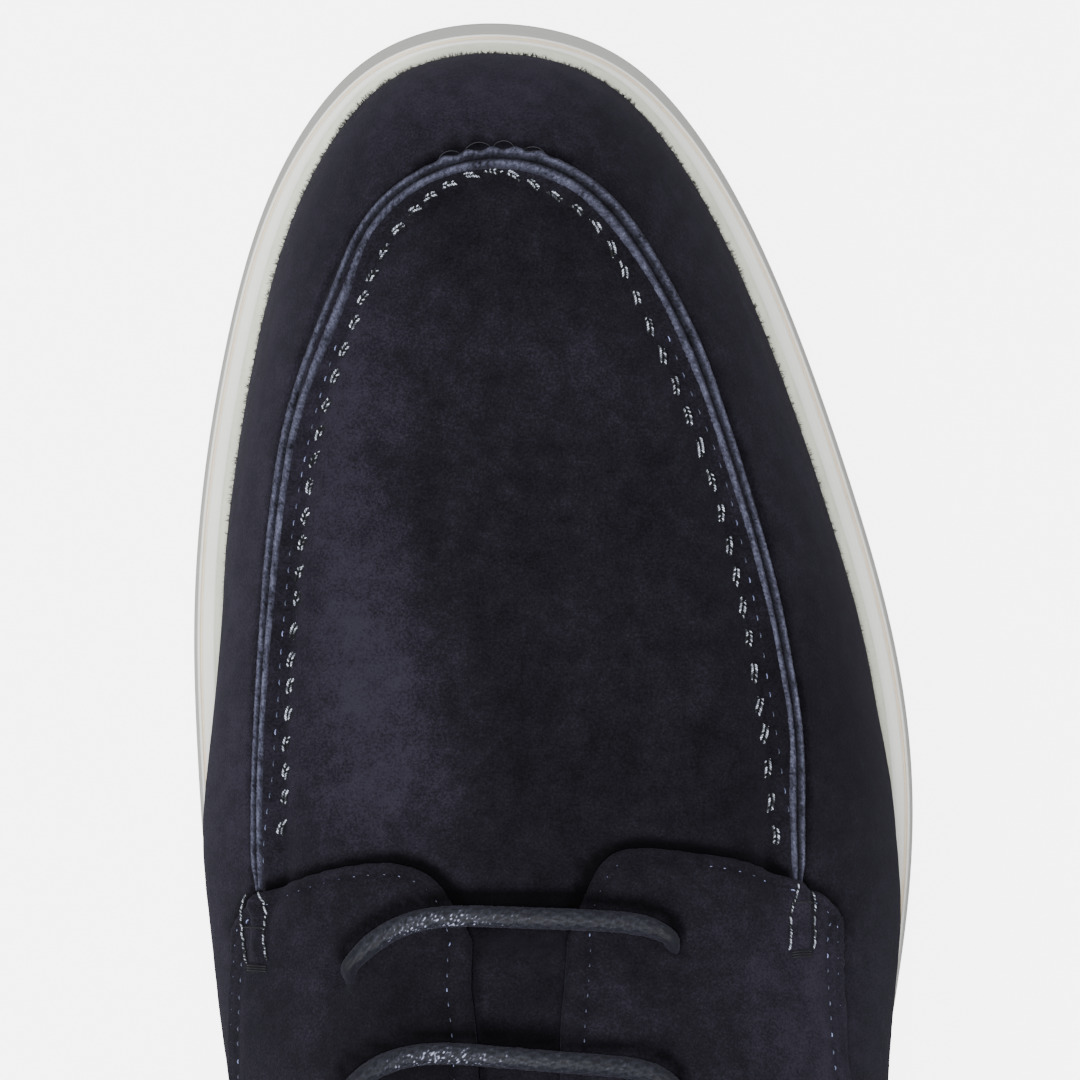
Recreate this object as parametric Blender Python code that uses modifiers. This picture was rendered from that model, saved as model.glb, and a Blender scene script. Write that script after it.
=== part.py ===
"""Right derby shoe: a suede upper with a raised apron seam, on a rubber unit sole.

The shoe stands on its sole with the toe towards -Y and the heel towards +Y. The medial
(inner) side is +X. Inside the script a point is (across, station, height) in millimetres:
the station runs from the toe tip to the heel, and world() turns such a point into metres.
"""
import math

import bmesh
import bpy
import numpy as np
from mathutils import Vector

MM = 0.001

# Driving sizes, in millimetres
LENGTH = 302.0            # sole, toe tip to heel tip
WALL = 2.0                # upper: suede and lining together
FACING_WALL = 1.8         # quarter laid over the shell
TONGUE_WALL = 2.4
INSOLE_WALL = 3.0
GAP = 0.3                 # clearance between pieces that meet
SAG = 0.25                # room for the flat facets of two curved faces that follow each other
SEAT_DEPTH = 1.5          # how far the upper sits below the sole's rim
RIM_WIDTH = 3.6           # sole's edge to the seat
FEATHER_INSET = 4.3       # sole's edge to the foot of the upper
THROAT_FRONT = 131.5      # station where the shell opens under the first lace
FACING_TOP = 203.0        # station of the facings' top corners
FACING_LIP = 1.5          # how far the facings reach past the shell's slot
COLLAR_CORNER = 5.0       # length of the short section behind the facings' top corners
LACE_ROWS = 4
LACE_PITCH = 19.8
LACE_FIRST = 138.4        # station of the first pair of eyelets
EYELET_REACH = 23.4       # half the distance between the eyelets of a pair
EYELET_SHIFT = 0.8        # middle of a pair, from the crest line to the medial side
LACE_BOW = 7.8            # how far a bar bows towards the toe
LACE_WIDTH = 3.9
LACE_HEIGHT = 2.8

# Mesh density
TOE_SECTIONS = 22
THROAT_SECTIONS = 8
HEEL_SECTIONS = 16
SHELL_STEPS = 9
TONGUE_STEPS = 6
STEP = 1e-4               # parameter step for slopes


def table(names, *rows):
    """Return the columns of a small table, by name."""
    return {name: np.array(values) for name, values in zip(names.split(), zip(*rows))}


# Widest line of the sole, seen from above
OUTLINE = table(
    "station medial lateral",
    (0.0, 9.8, 9.8),
    (3.6, 25.4, -7.1),
    (12.8, 35.7, -18.3),
    (28.5, 44.1, -28.4),
    (49.5, 49.8, -37.5),
    (70.5, 53.1, -44.7),
    (91.5, 54.3, -50.5),
    (112.5, 53.6, -53.4),
    (130.0, 52.1, -53.0),
    (150.0, 48.3, -50.2),
    (175.0, 42.6, -46.0),
    (205.0, 38.2, -41.6),
    (240.0, 36.6, -39.0),
    (265.0, 35.0, -37.3),
    (284.0, 29.1, -31.3),
    (296.0, 17.9, -20.1),
    (LENGTH, -1.1, -1.1),
)

# Tread and rim of the sole, from the toe spring over the arch to the heel
SOLE_HEIGHTS = table(
    "station tread rim",
    (0.0, 8.4, 20.4),
    (15.0, 5.0, 17.6),
    (32.0, 1.9, 15.4),
    (58.0, 0.0, 14.0),
    (100.0, 0.0, 14.4),
    (124.0, 0.0, 15.8),
    (150.0, 3.4, 18.3),
    (172.0, 4.6, 20.6),
    (192.0, 2.4, 22.8),
    (205.0, 0.0, 24.0),
    (240.0, 0.0, 26.2),
    (284.0, 0.0, 27.6),
    (LENGTH, 2.2, 28.2),
)

# Sections of the last: crest line, how steeply each side rises, how full the crown is
# and how far the side swells past the foot of the upper
LAST = table(
    "station crest_across crest_height rise crown_medial crown_lateral swell_medial swell_lateral",
    (0.0, 9.8, 39.5, 0.60, 0.60, 0.60, 0.0, 0.0),
    (30.0, 9.3, 44.5, 0.62, 0.66, 0.64, 0.0, 0.0),
    (60.0, 8.4, 49.5, 0.66, 0.74, 0.68, 0.2, 0.1),
    (97.0, 7.0, 57.5, 0.68, 0.76, 0.70, 1.3, 0.7),
    (118.0, 6.2, 64.2, 0.62, 0.72, 0.68, 3.2, 1.9),
    (134.0, 5.7, 71.0, 0.58, 0.68, 0.66, 4.6, 3.2),
    (150.0, 5.4, 79.0, 0.55, 0.64, 0.64, 5.6, 4.1),
    (175.0, 4.4, 92.0, 0.52, 0.56, 0.58, 4.6, 3.8),
    (205.0, 3.0, 107.5, 0.50, 0.48, 0.50, 3.2, 3.2),
    (230.0, 1.4, 118.5, 0.50, 0.64, 0.64, 2.8, 2.8),
    (255.0, 0.0, 126.0, 0.50, 0.82, 0.82, 2.8, 2.8),
    (LENGTH, -1.1, 130.0, 0.50, 0.80, 0.80, 1.6, 1.6),
)
TOE_CREST = 30.0          # where the crest line starts, behind the toe tip
TOE_FAN = 0.36            # share of each side whose sections fan round the toe
HEEL_CREST = 266.0
HEEL_FAN = 0.30
SWELL_PEAK = 0.3          # place of the swell on a section, from foot to crest

TOPLINE = table(
    "station height",
    (FACING_TOP, 106.5),
    (212.0, 99.0),
    (222.0, 90.5),
    (236.0, 82.0),
    (250.0, 77.2),
    (266.0, 75.8),
    (282.0, 78.5),
    (294.0, 83.5),
    (LENGTH, 87.0),
)

HALF_THROAT = table(
    "station reach",
    (0.0, 7.2),
    (134.0, 7.2),
    (150.0, 5.8),
    (175.0, 5.6),
    (FACING_TOP, 6.2),
)

# Outer edge of the raised seam, seen from above, from its front round both legs
APRON = table(
    "station medial lateral",
    (19.3, 8.6, 8.6),
    (24.6, 22.1, -4.2),
    (31.7, 29.1, -10.7),
    (39.5, 33.2, -15.9),
    (50.1, 37.1, -21.4),
    (61.4, 39.9, -25.7),
    (75.5, 41.9, -30.1),
    (96.5, 43.6, -34.3),
    (112.0, 44.3, -36.1),
    (125.5, 43.7, -35.6),
)
APRON_POINTS = 27         # along each leg

# Cross-section of the raised seam: two raw edges with a groove between them
SEAM_PROFILE = table(
    "across height",
    (0.0, 0.0),
    (-0.1, 1.3),
    (0.4, 2.1),
    (1.0, 2.2),
    (1.4, 1.7),
    (1.8, 2.1),
    (2.5, 1.9),
    (2.9, 1.1),
    (2.8, 0.0),
)

# Front edge of each facing, seen from above, from the throat round to the outer edge
LOBE = table(
    "medial_across medial_station lateral_across lateral_station",
    (12.2, 133.4, -2.1, 134.0),
    (15.1, 128.0, -4.7, 127.6),
    (18.3, 124.2, -7.8, 122.6),
    (23.5, 122.4, -13.5, 121.2),
    (30.0, 123.1, -21.5, 122.2),
    (36.3, 125.0, -29.0, 124.0),
    (41.6, 127.1, -35.4, 126.7),
    (45.4, 129.7, -39.8, 129.6),
    (47.6, 133.4, -42.4, 133.2),
)
LOBE_ROWS = 4
LOBE_END = 142.0          # station where the facing's rows run straight across
SEAM_SHARE = 0.0012       # half the gap of the back seam, as a share of a side

FACING_HEM = table(
    "station medial lateral",
    (LOBE_END, 49.0, 52.5),
    (155.0, 49.5, 55.0),
    (175.0, 50.0, 55.0),
    (220.0, 51.5, 54.0),
    (LENGTH, 53.0, 53.0),
)

TONGUE_HALF_WIDTH = table(
    "station reach",
    (122.0, 19.0),
    (150.0, 23.0),
    (190.0, 26.0),
    (206.0, 26.5),
    (213.0, 24.0),
    (217.0, 17.0),
)

# Side of the sole: distance in from the widest line and share of the height from tread to
# rim, then a drop below the rim, from the tread round to the floor of the seat
SOLE_SIDE = table(
    "inset flare_share height_share drop",
    (3.4, 0.0, 0.0, 0.0),
    (1.2, 0.0, 0.0, -0.5),
    (0.2, 0.0, 0.0, -2.2),
    (0.0, 0.0, 0.35, 0.0),
    (0.0, 0.6, 0.70, 0.0),
    (0.0, 1.0, 1.0, 0.7),
    (0.3, 1.0, 1.0, 0.1),
    (0.6, 1.0, 1.0, 0.5),
    (0.9, 1.0, 1.0, 0.0),
    (RIM_WIDTH - 0.2, 0.0, 1.0, 0.0),
    (RIM_WIDTH, 0.0, 1.0, SEAT_DEPTH),
)
SIDE_FLARE = 0.8          # how far the wall leans out below the rim
TOE_FLARE = 1.9
TOE_FLARE_END = 45.0

SUEDE = ("navy_suede", (0.022, 0.022, 0.036), 0.95)
LINING = ("tan_leather", (0.45, 0.28, 0.15), 0.6)
RUBBER = ("white_rubber", (0.72, 0.72, 0.68), 0.55)
WAXED = ("waxed_lace", (0.035, 0.038, 0.055), 0.5)


def spline(places, values):
    """Return a natural cubic spline through the values, as a function of one number."""
    count = len(places)
    width = np.diff(places)
    slope = np.diff(values) / width
    system = np.eye(count)
    right = np.zeros(count)
    for i in range(1, count - 1):
        system[i, i - 1:i + 2] = (width[i - 1], 2 * (width[i - 1] + width[i]), width[i])
        right[i] = 6 * (slope[i] - slope[i - 1])
    bend = np.linalg.solve(system, right)

    def value(x):
        i = min(max(int(np.searchsorted(places, x)) - 1, 0), count - 2)
        before = x - places[i]
        after = places[i + 1] - x
        curve = (bend[i] * after ** 3 + bend[i + 1] * before ** 3) / (6 * width[i])
        start = (values[i] / width[i] - bend[i] * width[i] / 6) * after
        end = (values[i + 1] / width[i] - bend[i + 1] * width[i] / 6) * before
        return float(curve + start + end)
    return value


def ease(places, values):
    """Return a curve through the values that never overshoots them."""
    width = np.diff(places)
    slope = np.diff(values) / width
    tangent = np.concatenate(([slope[0]], (slope[1:] + slope[:-1]) / 2, [slope[-1]]))
    for i in range(1, len(tangent) - 1):
        if slope[i - 1] * slope[i] <= 0:
            tangent[i] = 0.0
        else:
            limit = 3 * min(abs(slope[i - 1]), abs(slope[i]))
            tangent[i] = math.copysign(min(abs(tangent[i]), limit), slope[i])

    def value(x):
        x = min(max(x, places[0]), places[-1])
        i = min(max(int(np.searchsorted(places, x)) - 1, 0), len(width) - 1)
        s = (x - places[i]) / width[i]
        rise = values[i] * (1 + 2 * s) * (1 - s) ** 2 + values[i + 1] * s * s * (3 - 2 * s)
        lean = tangent[i] * s * (1 - s) ** 2 - tangent[i + 1] * s * s * (1 - s)
        return float(rise + lean * width[i])
    return value


def eased(rows, name):
    """Return one column of a table as a curve over its stations."""
    return ease(rows["station"], rows[name])


def share_of(station, length=LENGTH):
    """Return the place round one side, 0 at the toe tip and 1 at the heel tip."""
    return math.acos(max(-1.0, min(1.0, 1 - 2 * station / length))) / math.pi


def station_of(share):
    """Return the station of a place round one side."""
    return LENGTH * (1 - math.cos(math.pi * share)) / 2


OUTLINE_SHARES = np.array([share_of(station) for station in OUTLINE["station"]])
SIDE_ACROSS = {
    1: spline(OUTLINE_SHARES, OUTLINE["medial"]),
    -1: spline(OUTLINE_SHARES, OUTLINE["lateral"]),
}
TREAD = eased(SOLE_HEIGHTS, "tread")
RIM = eased(SOLE_HEIGHTS, "rim")
CREST_ACROSS = eased(LAST, "crest_across")
CREST_HEIGHT = spline(LAST["station"], LAST["crest_height"])
RISE = eased(LAST, "rise")
CROWN = {1: eased(LAST, "crown_medial"), -1: eased(LAST, "crown_lateral")}
SWELL = {1: eased(LAST, "swell_medial"), -1: eased(LAST, "swell_lateral")}
TOP_HEIGHT = eased(TOPLINE, "height")
THROAT_REACH = eased(HALF_THROAT, "reach")
HEM_HEIGHT = {1: eased(FACING_HEM, "medial"), -1: eased(FACING_HEM, "lateral")}
TONGUE_REACH = eased(TONGUE_HALF_WIDTH, "reach")
MIDDLE = (max(OUTLINE["medial"]) + min(OUTLINE["lateral"])) / 2


def side_of(turn):
    """Return 1 for the medial side and -1 for the lateral side."""
    return 1 if turn >= 0 else -1


def outline(turn):
    """Return the sole's widest line at a turn: 0 toe, 1 or -1 heel, above 0 medial."""
    turn = (turn + 1) % 2 - 1
    share = abs(turn)
    return np.array((SIDE_ACROSS[side_of(turn)](share), station_of(share)))


def outward(turn):
    """Return the direction out of the sole at a turn, seen from above."""
    across, along = outline(turn + STEP) - outline(turn - STEP)
    return np.array((along, -across)) / math.hypot(across, along)


def crest_station(share):
    """Return where a section reaches the crest line; toe and heel sections fan round."""
    station = station_of(share)
    if share < TOE_FAN:
        s = share / TOE_FAN
        swept = TOE_CREST + (station_of(TOE_FAN) - TOE_CREST) * s * s
        return swept + (station - swept) * s * s
    if share > 1 - HEEL_FAN:
        s = (1 - share) / HEEL_FAN
        swept = HEEL_CREST + (station_of(1 - HEEL_FAN) - HEEL_CREST) * s * s
        return swept + (station - swept) * s * s
    return station


def crest(station):
    """Return a point of the crest line."""
    return np.array((CREST_ACROSS(station), station, CREST_HEIGHT(station)))


def swell_shape(u):
    """Return the swell of the side, 1 at its peak and flat at the foot and the crest."""
    fall = 2 * (1 - SWELL_PEAK) / SWELL_PEAK
    return (u / SWELL_PEAK) ** 2 * ((1 - u) / (1 - SWELL_PEAK)) ** fall


def skin(turn, u):
    """Return a point of the upper's outer face, u from 0 at its foot to 1 at the crest."""
    turn = (turn + 1) % 2 - 1
    share = abs(turn)
    side = side_of(turn)
    station = station_of(share)
    out = outward(turn)
    foot_plan = outline(turn) - FEATHER_INSET * out
    foot = np.append(foot_plan, RIM(station) - SEAT_DEPTH + GAP)
    top_station = crest_station(share)
    top = crest(top_station)
    swell = SWELL[side](station)
    lean = 1.3 * swell * out
    lower = foot + np.append(lean, RISE(station) * (top[2] - foot[2]))
    reach = CROWN[side](station) * (foot_plan - top[:2])
    slope = (CREST_HEIGHT(top_station + 1) - CREST_HEIGHT(top_station - 1)) / 2
    upper = top + np.append(reach, slope * reach[1])
    v = 1 - u
    point = v ** 3 * foot + 3 * v * v * u * lower + 3 * v * u * u * upper + u ** 3 * top
    return point + np.append(swell * swell_shape(u) * out, 0.0)


def skin_normal(turn, u):
    """Return the outward direction of the upper's outer face."""
    u = min(u, 1 - 2 * STEP)
    along = skin(turn + STEP, u) - skin(turn - STEP, u)
    rising = skin(turn, u + STEP) - skin(turn, max(u - STEP, 0.0))
    normal = np.cross(rising, along)
    if normal[2] < 0 and u > 0.6 or np.dot(normal[:2], outward(turn)) < 0 and u <= 0.6:
        normal = -normal
    return normal / np.linalg.norm(normal)


def lifted(turn, u, height):
    """Return a point at a distance from the upper's outer face."""
    return skin(turn, u) + height * skin_normal(turn, u)


def bisect(test, low=0.0, high=1.0):
    """Return the u between low and high where the test turns from true to false."""
    for _ in range(40):
        middle = (low + high) / 2
        if test(middle):
            low = middle
        else:
            high = middle
    return (low + high) / 2


def u_at_height(turn, height):
    """Return the u where a section reaches a height."""
    return bisect(lambda u: skin(turn, u)[2] < height)


def u_at_reach(turn, reach):
    """Return the u where a section comes within a distance of the crest line."""
    top = skin(turn, 1.0)[:2]
    return bisect(lambda u: np.linalg.norm(skin(turn, u)[:2] - top) > reach, 0.3)


def place_at(across, station, turn, u=0.5, height=0.0):
    """Return the turn and u whose point at a distance from the skin is above a place."""
    target = np.array((across, station))
    for _ in range(24):
        here = lifted(turn, u, height)[:2]
        by_turn = (lifted(turn + STEP, u, height)[:2] - here) / STEP
        by_u = (lifted(turn, u - STEP, height)[:2] - here) / -STEP
        move = np.linalg.solve(np.column_stack((by_turn, by_u)), target - here)
        turn += max(-0.05, min(0.05, move[0]))
        u = max(0.05, min(0.999, u + max(-0.1, min(0.1, move[1]))))
    return turn, u


def world(point):
    """Return a point in metres, in the shoe's own frame."""
    return ((point[0] - MIDDLE) * MM, (point[1] - LENGTH / 2) * MM, point[2] * MM)


def material(finish):
    """Return the Principled material of a finish, made once."""
    name, colour, roughness = finish
    if name in bpy.data.materials:
        return bpy.data.materials[name]
    made = bpy.data.materials.new(name)
    made.use_nodes = True
    shader = made.node_tree.nodes["Principled BSDF"]
    shader.inputs["Base Color"].default_value = (*colour, 1.0)
    shader.inputs["Roughness"].default_value = roughness
    shader.inputs["Metallic"].default_value = 0.0
    return made


def add_object(name, bm, finish, collection):
    """Link a mesh as a named, smooth-shaded object of the shoe."""
    mesh = bpy.data.meshes.new(name)
    bm.to_mesh(mesh)
    bm.free()
    mesh.shade_smooth()
    mesh.set_sharp_from_angle(angle=math.radians(40))
    mesh.materials.append(material(finish))
    made = bpy.data.objects.new(name, mesh)
    collection.objects.link(made)
    return made


def thicken(made, thickness, offset):
    """Give an open surface its wall, inwards with offset -1 and outwards with 1."""
    wall = made.modifiers.new("wall", "SOLIDIFY")
    wall.thickness = thickness * MM
    wall.offset = offset
    wall.use_even_offset = True
    wall.use_quality_normals = True


def face_outwards(bm):
    """Turn an open surface so that its faces look away from the shoe's middle."""
    bm.normal_update()
    middle = Vector((0.0, 0.0, 0.04))
    facing = 0.0
    for face in bm.faces:
        facing += face.calc_area() * face.normal.dot(face.calc_center_median() - middle)
    if facing < 0:
        bmesh.ops.reverse_faces(bm, faces=bm.faces)


def section_shares():
    """Return the places of the sections from toe to heel, and where the throat opens."""
    front = share_of(THROAT_FRONT)
    top = share_of(FACING_TOP)
    shares = list(np.linspace(0.0, front, TOE_SECTIONS + 1))
    shares += list(np.linspace(front, top, THROAT_SECTIONS + 1))[1:]
    shares += [share_of(FACING_TOP + COLLAR_CORNER)]
    shares += list(np.linspace(top, 1.0, HEEL_SECTIONS + 1))[1:]
    return shares, TOE_SECTIONS


def around(shares):
    """Return the turns once round the shoe, with toe and heel counted once."""
    return [-share for share in reversed(shares[1:])] + list(shares[:-1])


def slot_u(turn):
    """Return the u of the shell's edge beside the throat, or of the line that runs on."""
    share = abs(turn)
    edge = u_at_reach(turn, THROAT_REACH(crest_station(share)) + FACING_LIP)
    if station_of(share) > FACING_TOP:
        edge = min(edge, u_at_height(turn, TOP_HEIGHT(station_of(share))))
    return edge


def build_upper(collection):
    """Build the lasted shell: open underneath, at the throat and at the collar."""
    shares, throat = section_shares()
    last = len(shares) - 1
    bm = bmesh.new()
    verts = {}

    def vert(k, side, j):
        shared = k in (0, last) or j > SHELL_STEPS
        key = (k, 0 if shared else side, j)
        if key not in verts:
            turn = side * shares[k]
            u = 1.0 if j > SHELL_STEPS else slot_u(turn) * j / SHELL_STEPS
            verts[key] = bm.verts.new(world(skin(turn, u)))
        return verts[key]

    for side in (1, -1):
        for k in range(last):
            steps = SHELL_STEPS + 1 if k < throat else SHELL_STEPS
            for j in range(steps):
                corners = [vert(k, side, j), vert(k + 1, side, j),
                           vert(k + 1, side, j + 1), vert(k, side, j + 1)]
                if side < 0:
                    corners.reverse()
                bm.faces.new(corners)
    face_outwards(bm)
    thicken(add_object("upper", bm, SUEDE, collection), WALL, -1)


def ring_stack(name, rings, finish, collection):
    """Build a solid from rings laid on each other, closed across at both ends."""
    bm = bmesh.new()
    loops = [[bm.verts.new(world(point)) for point in ring] for ring in rings]
    count = len(loops[0])
    for low, high in zip(loops, loops[1:]):
        for i in range(count):
            n = (i + 1) % count
            bm.faces.new((low[i], low[n], high[n], high[i]))
    for loop in (loops[0], loops[-1]):
        for i in range(count // 2):
            strip = [loop[i], loop[i + 1], loop[-i - 1], loop[-i]]
            bm.faces.new(list(dict.fromkeys(strip)))
    bmesh.ops.recalc_face_normals(bm, faces=bm.faces)
    return add_object(name, bm, finish, collection)


def flare(station):
    """Return how far the sole's wall leans out, most at the toe."""
    s = max(0.0, 1 - station / TOE_FLARE_END)
    return SIDE_FLARE + (TOE_FLARE - SIDE_FLARE) * s * s


def build_sole(collection):
    """Build the rubber unit: tread, flared wall, bead, groove, rim and seat."""
    turns = around(section_shares()[0])
    rings = []
    for inset, lean, share, drop in zip(*SOLE_SIDE.values()):
        ring = []
        for turn in turns:
            edge = outline(turn)
            station = edge[1]
            plan = edge - outward(turn) * (inset + lean * flare(station))
            height = TREAD(station) * (1 - share) + RIM(station) * share - drop
            ring.append(np.append(plan, height))
        rings.append(ring)
    ring_stack("sole", rings, RUBBER, collection)


def build_insole(collection):
    """Build the insole on the sole's seat, inside the foot of the upper."""
    turns = around(section_shares()[0])
    inset = FEATHER_INSET + WALL + 1.5 * GAP
    rings = []
    for shrink, lift in ((0.0, 0.0), (0.0, INSOLE_WALL - 0.8), (0.8, INSOLE_WALL)):
        ring = []
        for turn in turns:
            plan = outline(turn) - outward(turn) * (inset + shrink)
            floor = RIM(outline(turn)[1]) - SEAT_DEPTH + GAP
            ring.append(np.append(plan, floor + lift))
        rings.append(ring)
    ring_stack("insole", rings, LINING, collection)


def build_sheet(name, grid, lift, thickness, offset, collection):
    """Build a suede sheet that follows the upper at a distance, from a grid of turns and u."""
    bm = bmesh.new()
    rows = [[bm.verts.new(world(lifted(turn, u, lift))) for turn, u in row] for row in grid]
    for row, following in zip(rows, rows[1:]):
        for j in range(len(row) - 1):
            bm.faces.new((row[j], following[j], following[j + 1], row[j + 1]))
    face_outwards(bm)
    thicken(add_object(name, bm, SUEDE, collection), thickness, offset)


def build_quarter(name, side, collection):
    """Build a facing: a rounded lobe over the vamp, then a band back to the heel seam."""
    label = "medial" if side > 0 else "lateral"
    start = share_of(LOBE_END)
    lift = GAP + 2 * SAG
    fronts = []
    for across, station in zip(LOBE[label + "_across"], LOBE[label + "_station"]):
        turn = side * share_of(station)
        fronts.append(place_at(across, station, turn, 0.75, lift + FACING_WALL))

    def straight(share):
        turn = side * share
        station = station_of(share)
        if station > FACING_TOP:
            inner = slot_u(turn)
        else:
            inner = u_at_reach(turn, THROAT_REACH(station))
        hem = u_at_height(turn, HEM_HEIGHT[side](station))
        return [(turn, u) for u in np.linspace(inner, hem, len(fronts))]

    grid = []
    for i in range(LOBE_ROWS):
        s = i / LOBE_ROWS
        grid.append([(a + (c - a) * s, b + (d - b) * s)
                     for (a, b), (c, d) in zip(fronts, straight(start))])
    shares = [start] + [share for share in section_shares()[0] if share > start + 0.01]
    shares[-1] -= SEAM_SHARE
    grid += [straight(share) for share in shares]
    build_sheet(name, grid, lift, FACING_WALL, 1, collection)


def build_tongue(collection):
    """Build the tongue under the throat, inside the shell."""
    grid = []
    stations = list(np.linspace(122.0, 206.0, 10)) + [210.0, 213.5, 216.0, 217.0]
    for station in stations:
        share = share_of(station)
        row = []
        for j in range(-TONGUE_STEPS // 2, TONGUE_STEPS // 2 + 1):
            side = 1 if j >= 0 else -1
            reach = TONGUE_REACH(station) * abs(j) * 2 / TONGUE_STEPS
            u = u_at_reach(side * share, reach) if j else 1.0
            row.append((side * share, u))
        grid.append(row)
    build_sheet("tongue", grid, -WALL - GAP - 2 * SAG, TONGUE_WALL, -1, collection)


def sweep(name, path, profile, finish, collection):
    """Build a solid whose profile follows a path of (point, across, up) frames."""
    bm = bmesh.new()
    rings = []
    for point, across, up in path:
        rings.append([bm.verts.new(world(point + a * across + h * up)) for a, h in profile])
    for low, high in zip(rings, rings[1:]):
        for i in range(len(profile)):
            n = (i + 1) % len(profile)
            bm.faces.new((low[i], low[n], high[n], high[i]))
    bm.faces.new(rings[0])
    bm.faces.new(rings[-1])
    bmesh.ops.recalc_face_normals(bm, faces=bm.faces)
    return add_object(name, bm, finish, collection)


def frames(places, lift):
    """Return sweep frames along places on the upper, at a distance from it."""
    points = [lifted(turn, u, lift) for turn, u in places]
    made = []
    for i, (turn, u) in enumerate(places):
        along = points[min(i + 1, len(points) - 1)] - points[max(i - 1, 0)]
        up = skin_normal(turn, u)
        across = np.cross(along, up)
        across /= np.linalg.norm(across)
        made.append((points[i], across, up))
    return made


def build_apron_seam(collection):
    """Build the raised seam round the apron, its legs ending at the facings."""
    first = APRON["station"][0]
    span = 2 * (APRON["station"][-1] - first)
    shares = np.array([share_of(station - first, span) for station in APRON["station"]])
    sides = {1: spline(shares, APRON["medial"]), -1: spline(shares, APRON["lateral"])}
    places = []
    for side in (1, -1):
        leg = []
        turn, u = 0.0, 0.7
        for i in range(APRON_POINTS):
            share = 0.5 * i / (APRON_POINTS - 1)
            station = first + span * (1 - math.cos(math.pi * share)) / 2
            turn, u = place_at(sides[side](share), station, turn, u)
            leg.append((turn, u))
        places = leg[::-1] + places[1:] if side > 0 else places + leg[1:]
    profile = list(zip(SEAM_PROFILE["across"], SEAM_PROFILE["height"]))
    sweep("apron_seam", frames(places, GAP), profile, SUEDE, collection)


def build_laces(collection):
    """Build the straight bars of the lace, each from eyelet to eyelet over the facings."""
    lift = 2 * GAP + 3 * SAG + FACING_WALL + LACE_HEIGHT / 2
    sides = 8
    profile = [(LACE_WIDTH / 2 * math.cos(2 * math.pi * i / sides),
                LACE_HEIGHT / 2 * math.sin(2 * math.pi * i / sides)) for i in range(sides)]
    for number in range(LACE_ROWS):
        eyelet = LACE_FIRST + LACE_PITCH * number
        places = []
        for s in np.sin(np.linspace(-0.5, 0.5, 16) * math.pi):
            station = eyelet - LACE_BOW * (1 - abs(s) ** 5)
            across = CREST_ACROSS(station) + EYELET_SHIFT + EYELET_REACH * s
            turn = side_of(s) * share_of(station)
            places.append(place_at(across, station, turn, 0.8, lift))
        sweep(f"lace_bar_{number + 1}", frames(places, lift), profile, WAXED, collection)


def main():
    """Clear the scene and build the shoe."""
    for old in list(bpy.data.objects):
        bpy.data.objects.remove(old, do_unlink=True)
    collection = bpy.data.collections.new("derby_shoe")
    bpy.context.scene.collection.children.link(collection)
    build_sole(collection)
    build_insole(collection)
    build_upper(collection)
    build_tongue(collection)
    build_apron_seam(collection)
    build_quarter("quarter_medial", 1, collection)
    build_quarter("quarter_lateral", -1, collection)
    build_laces(collection)


main()
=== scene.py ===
"""Looks of a right derby shoe: napped navy suede with a raised apron seam on a white rubber unit.

Inside the script a point is (across, station, height) in millimetres: the station runs from
the toe tip to the heel and the medial side is above 0. The toe is towards -Y in the scene.
Every place on the upper is given by its turn, round the shoe from 0 at the toe to 1 (medial)
or -1 (lateral) at the heel, and its u, from 0 at the foot of the upper to 1 on the crest line.
"""
import functools
import math

import bpy
import numpy as np
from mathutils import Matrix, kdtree

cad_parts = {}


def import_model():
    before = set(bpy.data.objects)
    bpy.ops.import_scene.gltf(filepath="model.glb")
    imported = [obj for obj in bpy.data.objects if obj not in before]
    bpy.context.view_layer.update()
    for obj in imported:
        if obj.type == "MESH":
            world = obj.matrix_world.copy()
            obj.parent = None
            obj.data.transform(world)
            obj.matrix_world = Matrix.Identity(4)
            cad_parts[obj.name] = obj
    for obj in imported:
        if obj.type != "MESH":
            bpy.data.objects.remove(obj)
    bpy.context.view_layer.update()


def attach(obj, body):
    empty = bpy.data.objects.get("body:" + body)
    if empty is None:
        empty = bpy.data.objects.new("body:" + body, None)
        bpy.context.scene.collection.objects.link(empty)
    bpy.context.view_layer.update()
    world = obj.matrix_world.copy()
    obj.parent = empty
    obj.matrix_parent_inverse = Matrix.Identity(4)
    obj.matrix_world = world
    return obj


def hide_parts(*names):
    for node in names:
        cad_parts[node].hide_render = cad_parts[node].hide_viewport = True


bl_info = {
    "name": "Derby shoe looks",
    "version": (1, 0, 0),
    "blender": (4, 5, 0),
    "location": "3D View > Sidebar > Derby shoe",
    "description": "Dresses the frame of a right derby shoe in suede, rubber, leather and thread",
    "category": "Add Mesh",
}

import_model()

MM = 0.001

# Sizes of the frame, in millimetres
LENGTH = 302.0
WALL = 2.0                  # thickness of the upper with its lining
FACING_WALL = 1.8
TONGUE_WALL = 2.4
GAP = 0.3                   # room between neighbouring pieces
SAG = 0.25                  # room for the flat faces of the solids
SEAT_DEPTH = 1.5            # from the sole's rim down to the floor of its seat
RIM_WIDTH = 3.6
FEATHER_INSET = 4.5         # from the sole's widest line in to the foot of the upper
SOLE_ROOM = 0.4             # how far the moulded rubber stands out from the plain solid
THROAT_FRONT = 131.5        # station of the throat's front end
FACING_TOP = 203.0          # station where the throat meets the collar
FACING_LIP = 1.5            # how far a facing passes the upper's edge at the throat
EDGE_ROLL = 0.9             # radius of the rounded edges of facings and tongue
EYELET_REACH = 24.3         # from the middle of the throat out to an eyelet
EYELET_SHIFT = 1.1          # the laces lie this far off the crest line
STEP = 1e-4                 # step of turn or u for slopes


def table(names, *rows):
    """Return the columns of a small table, by name."""
    return {name: np.array(values) for name, values in zip(names.split(), zip(*rows))}


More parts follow.
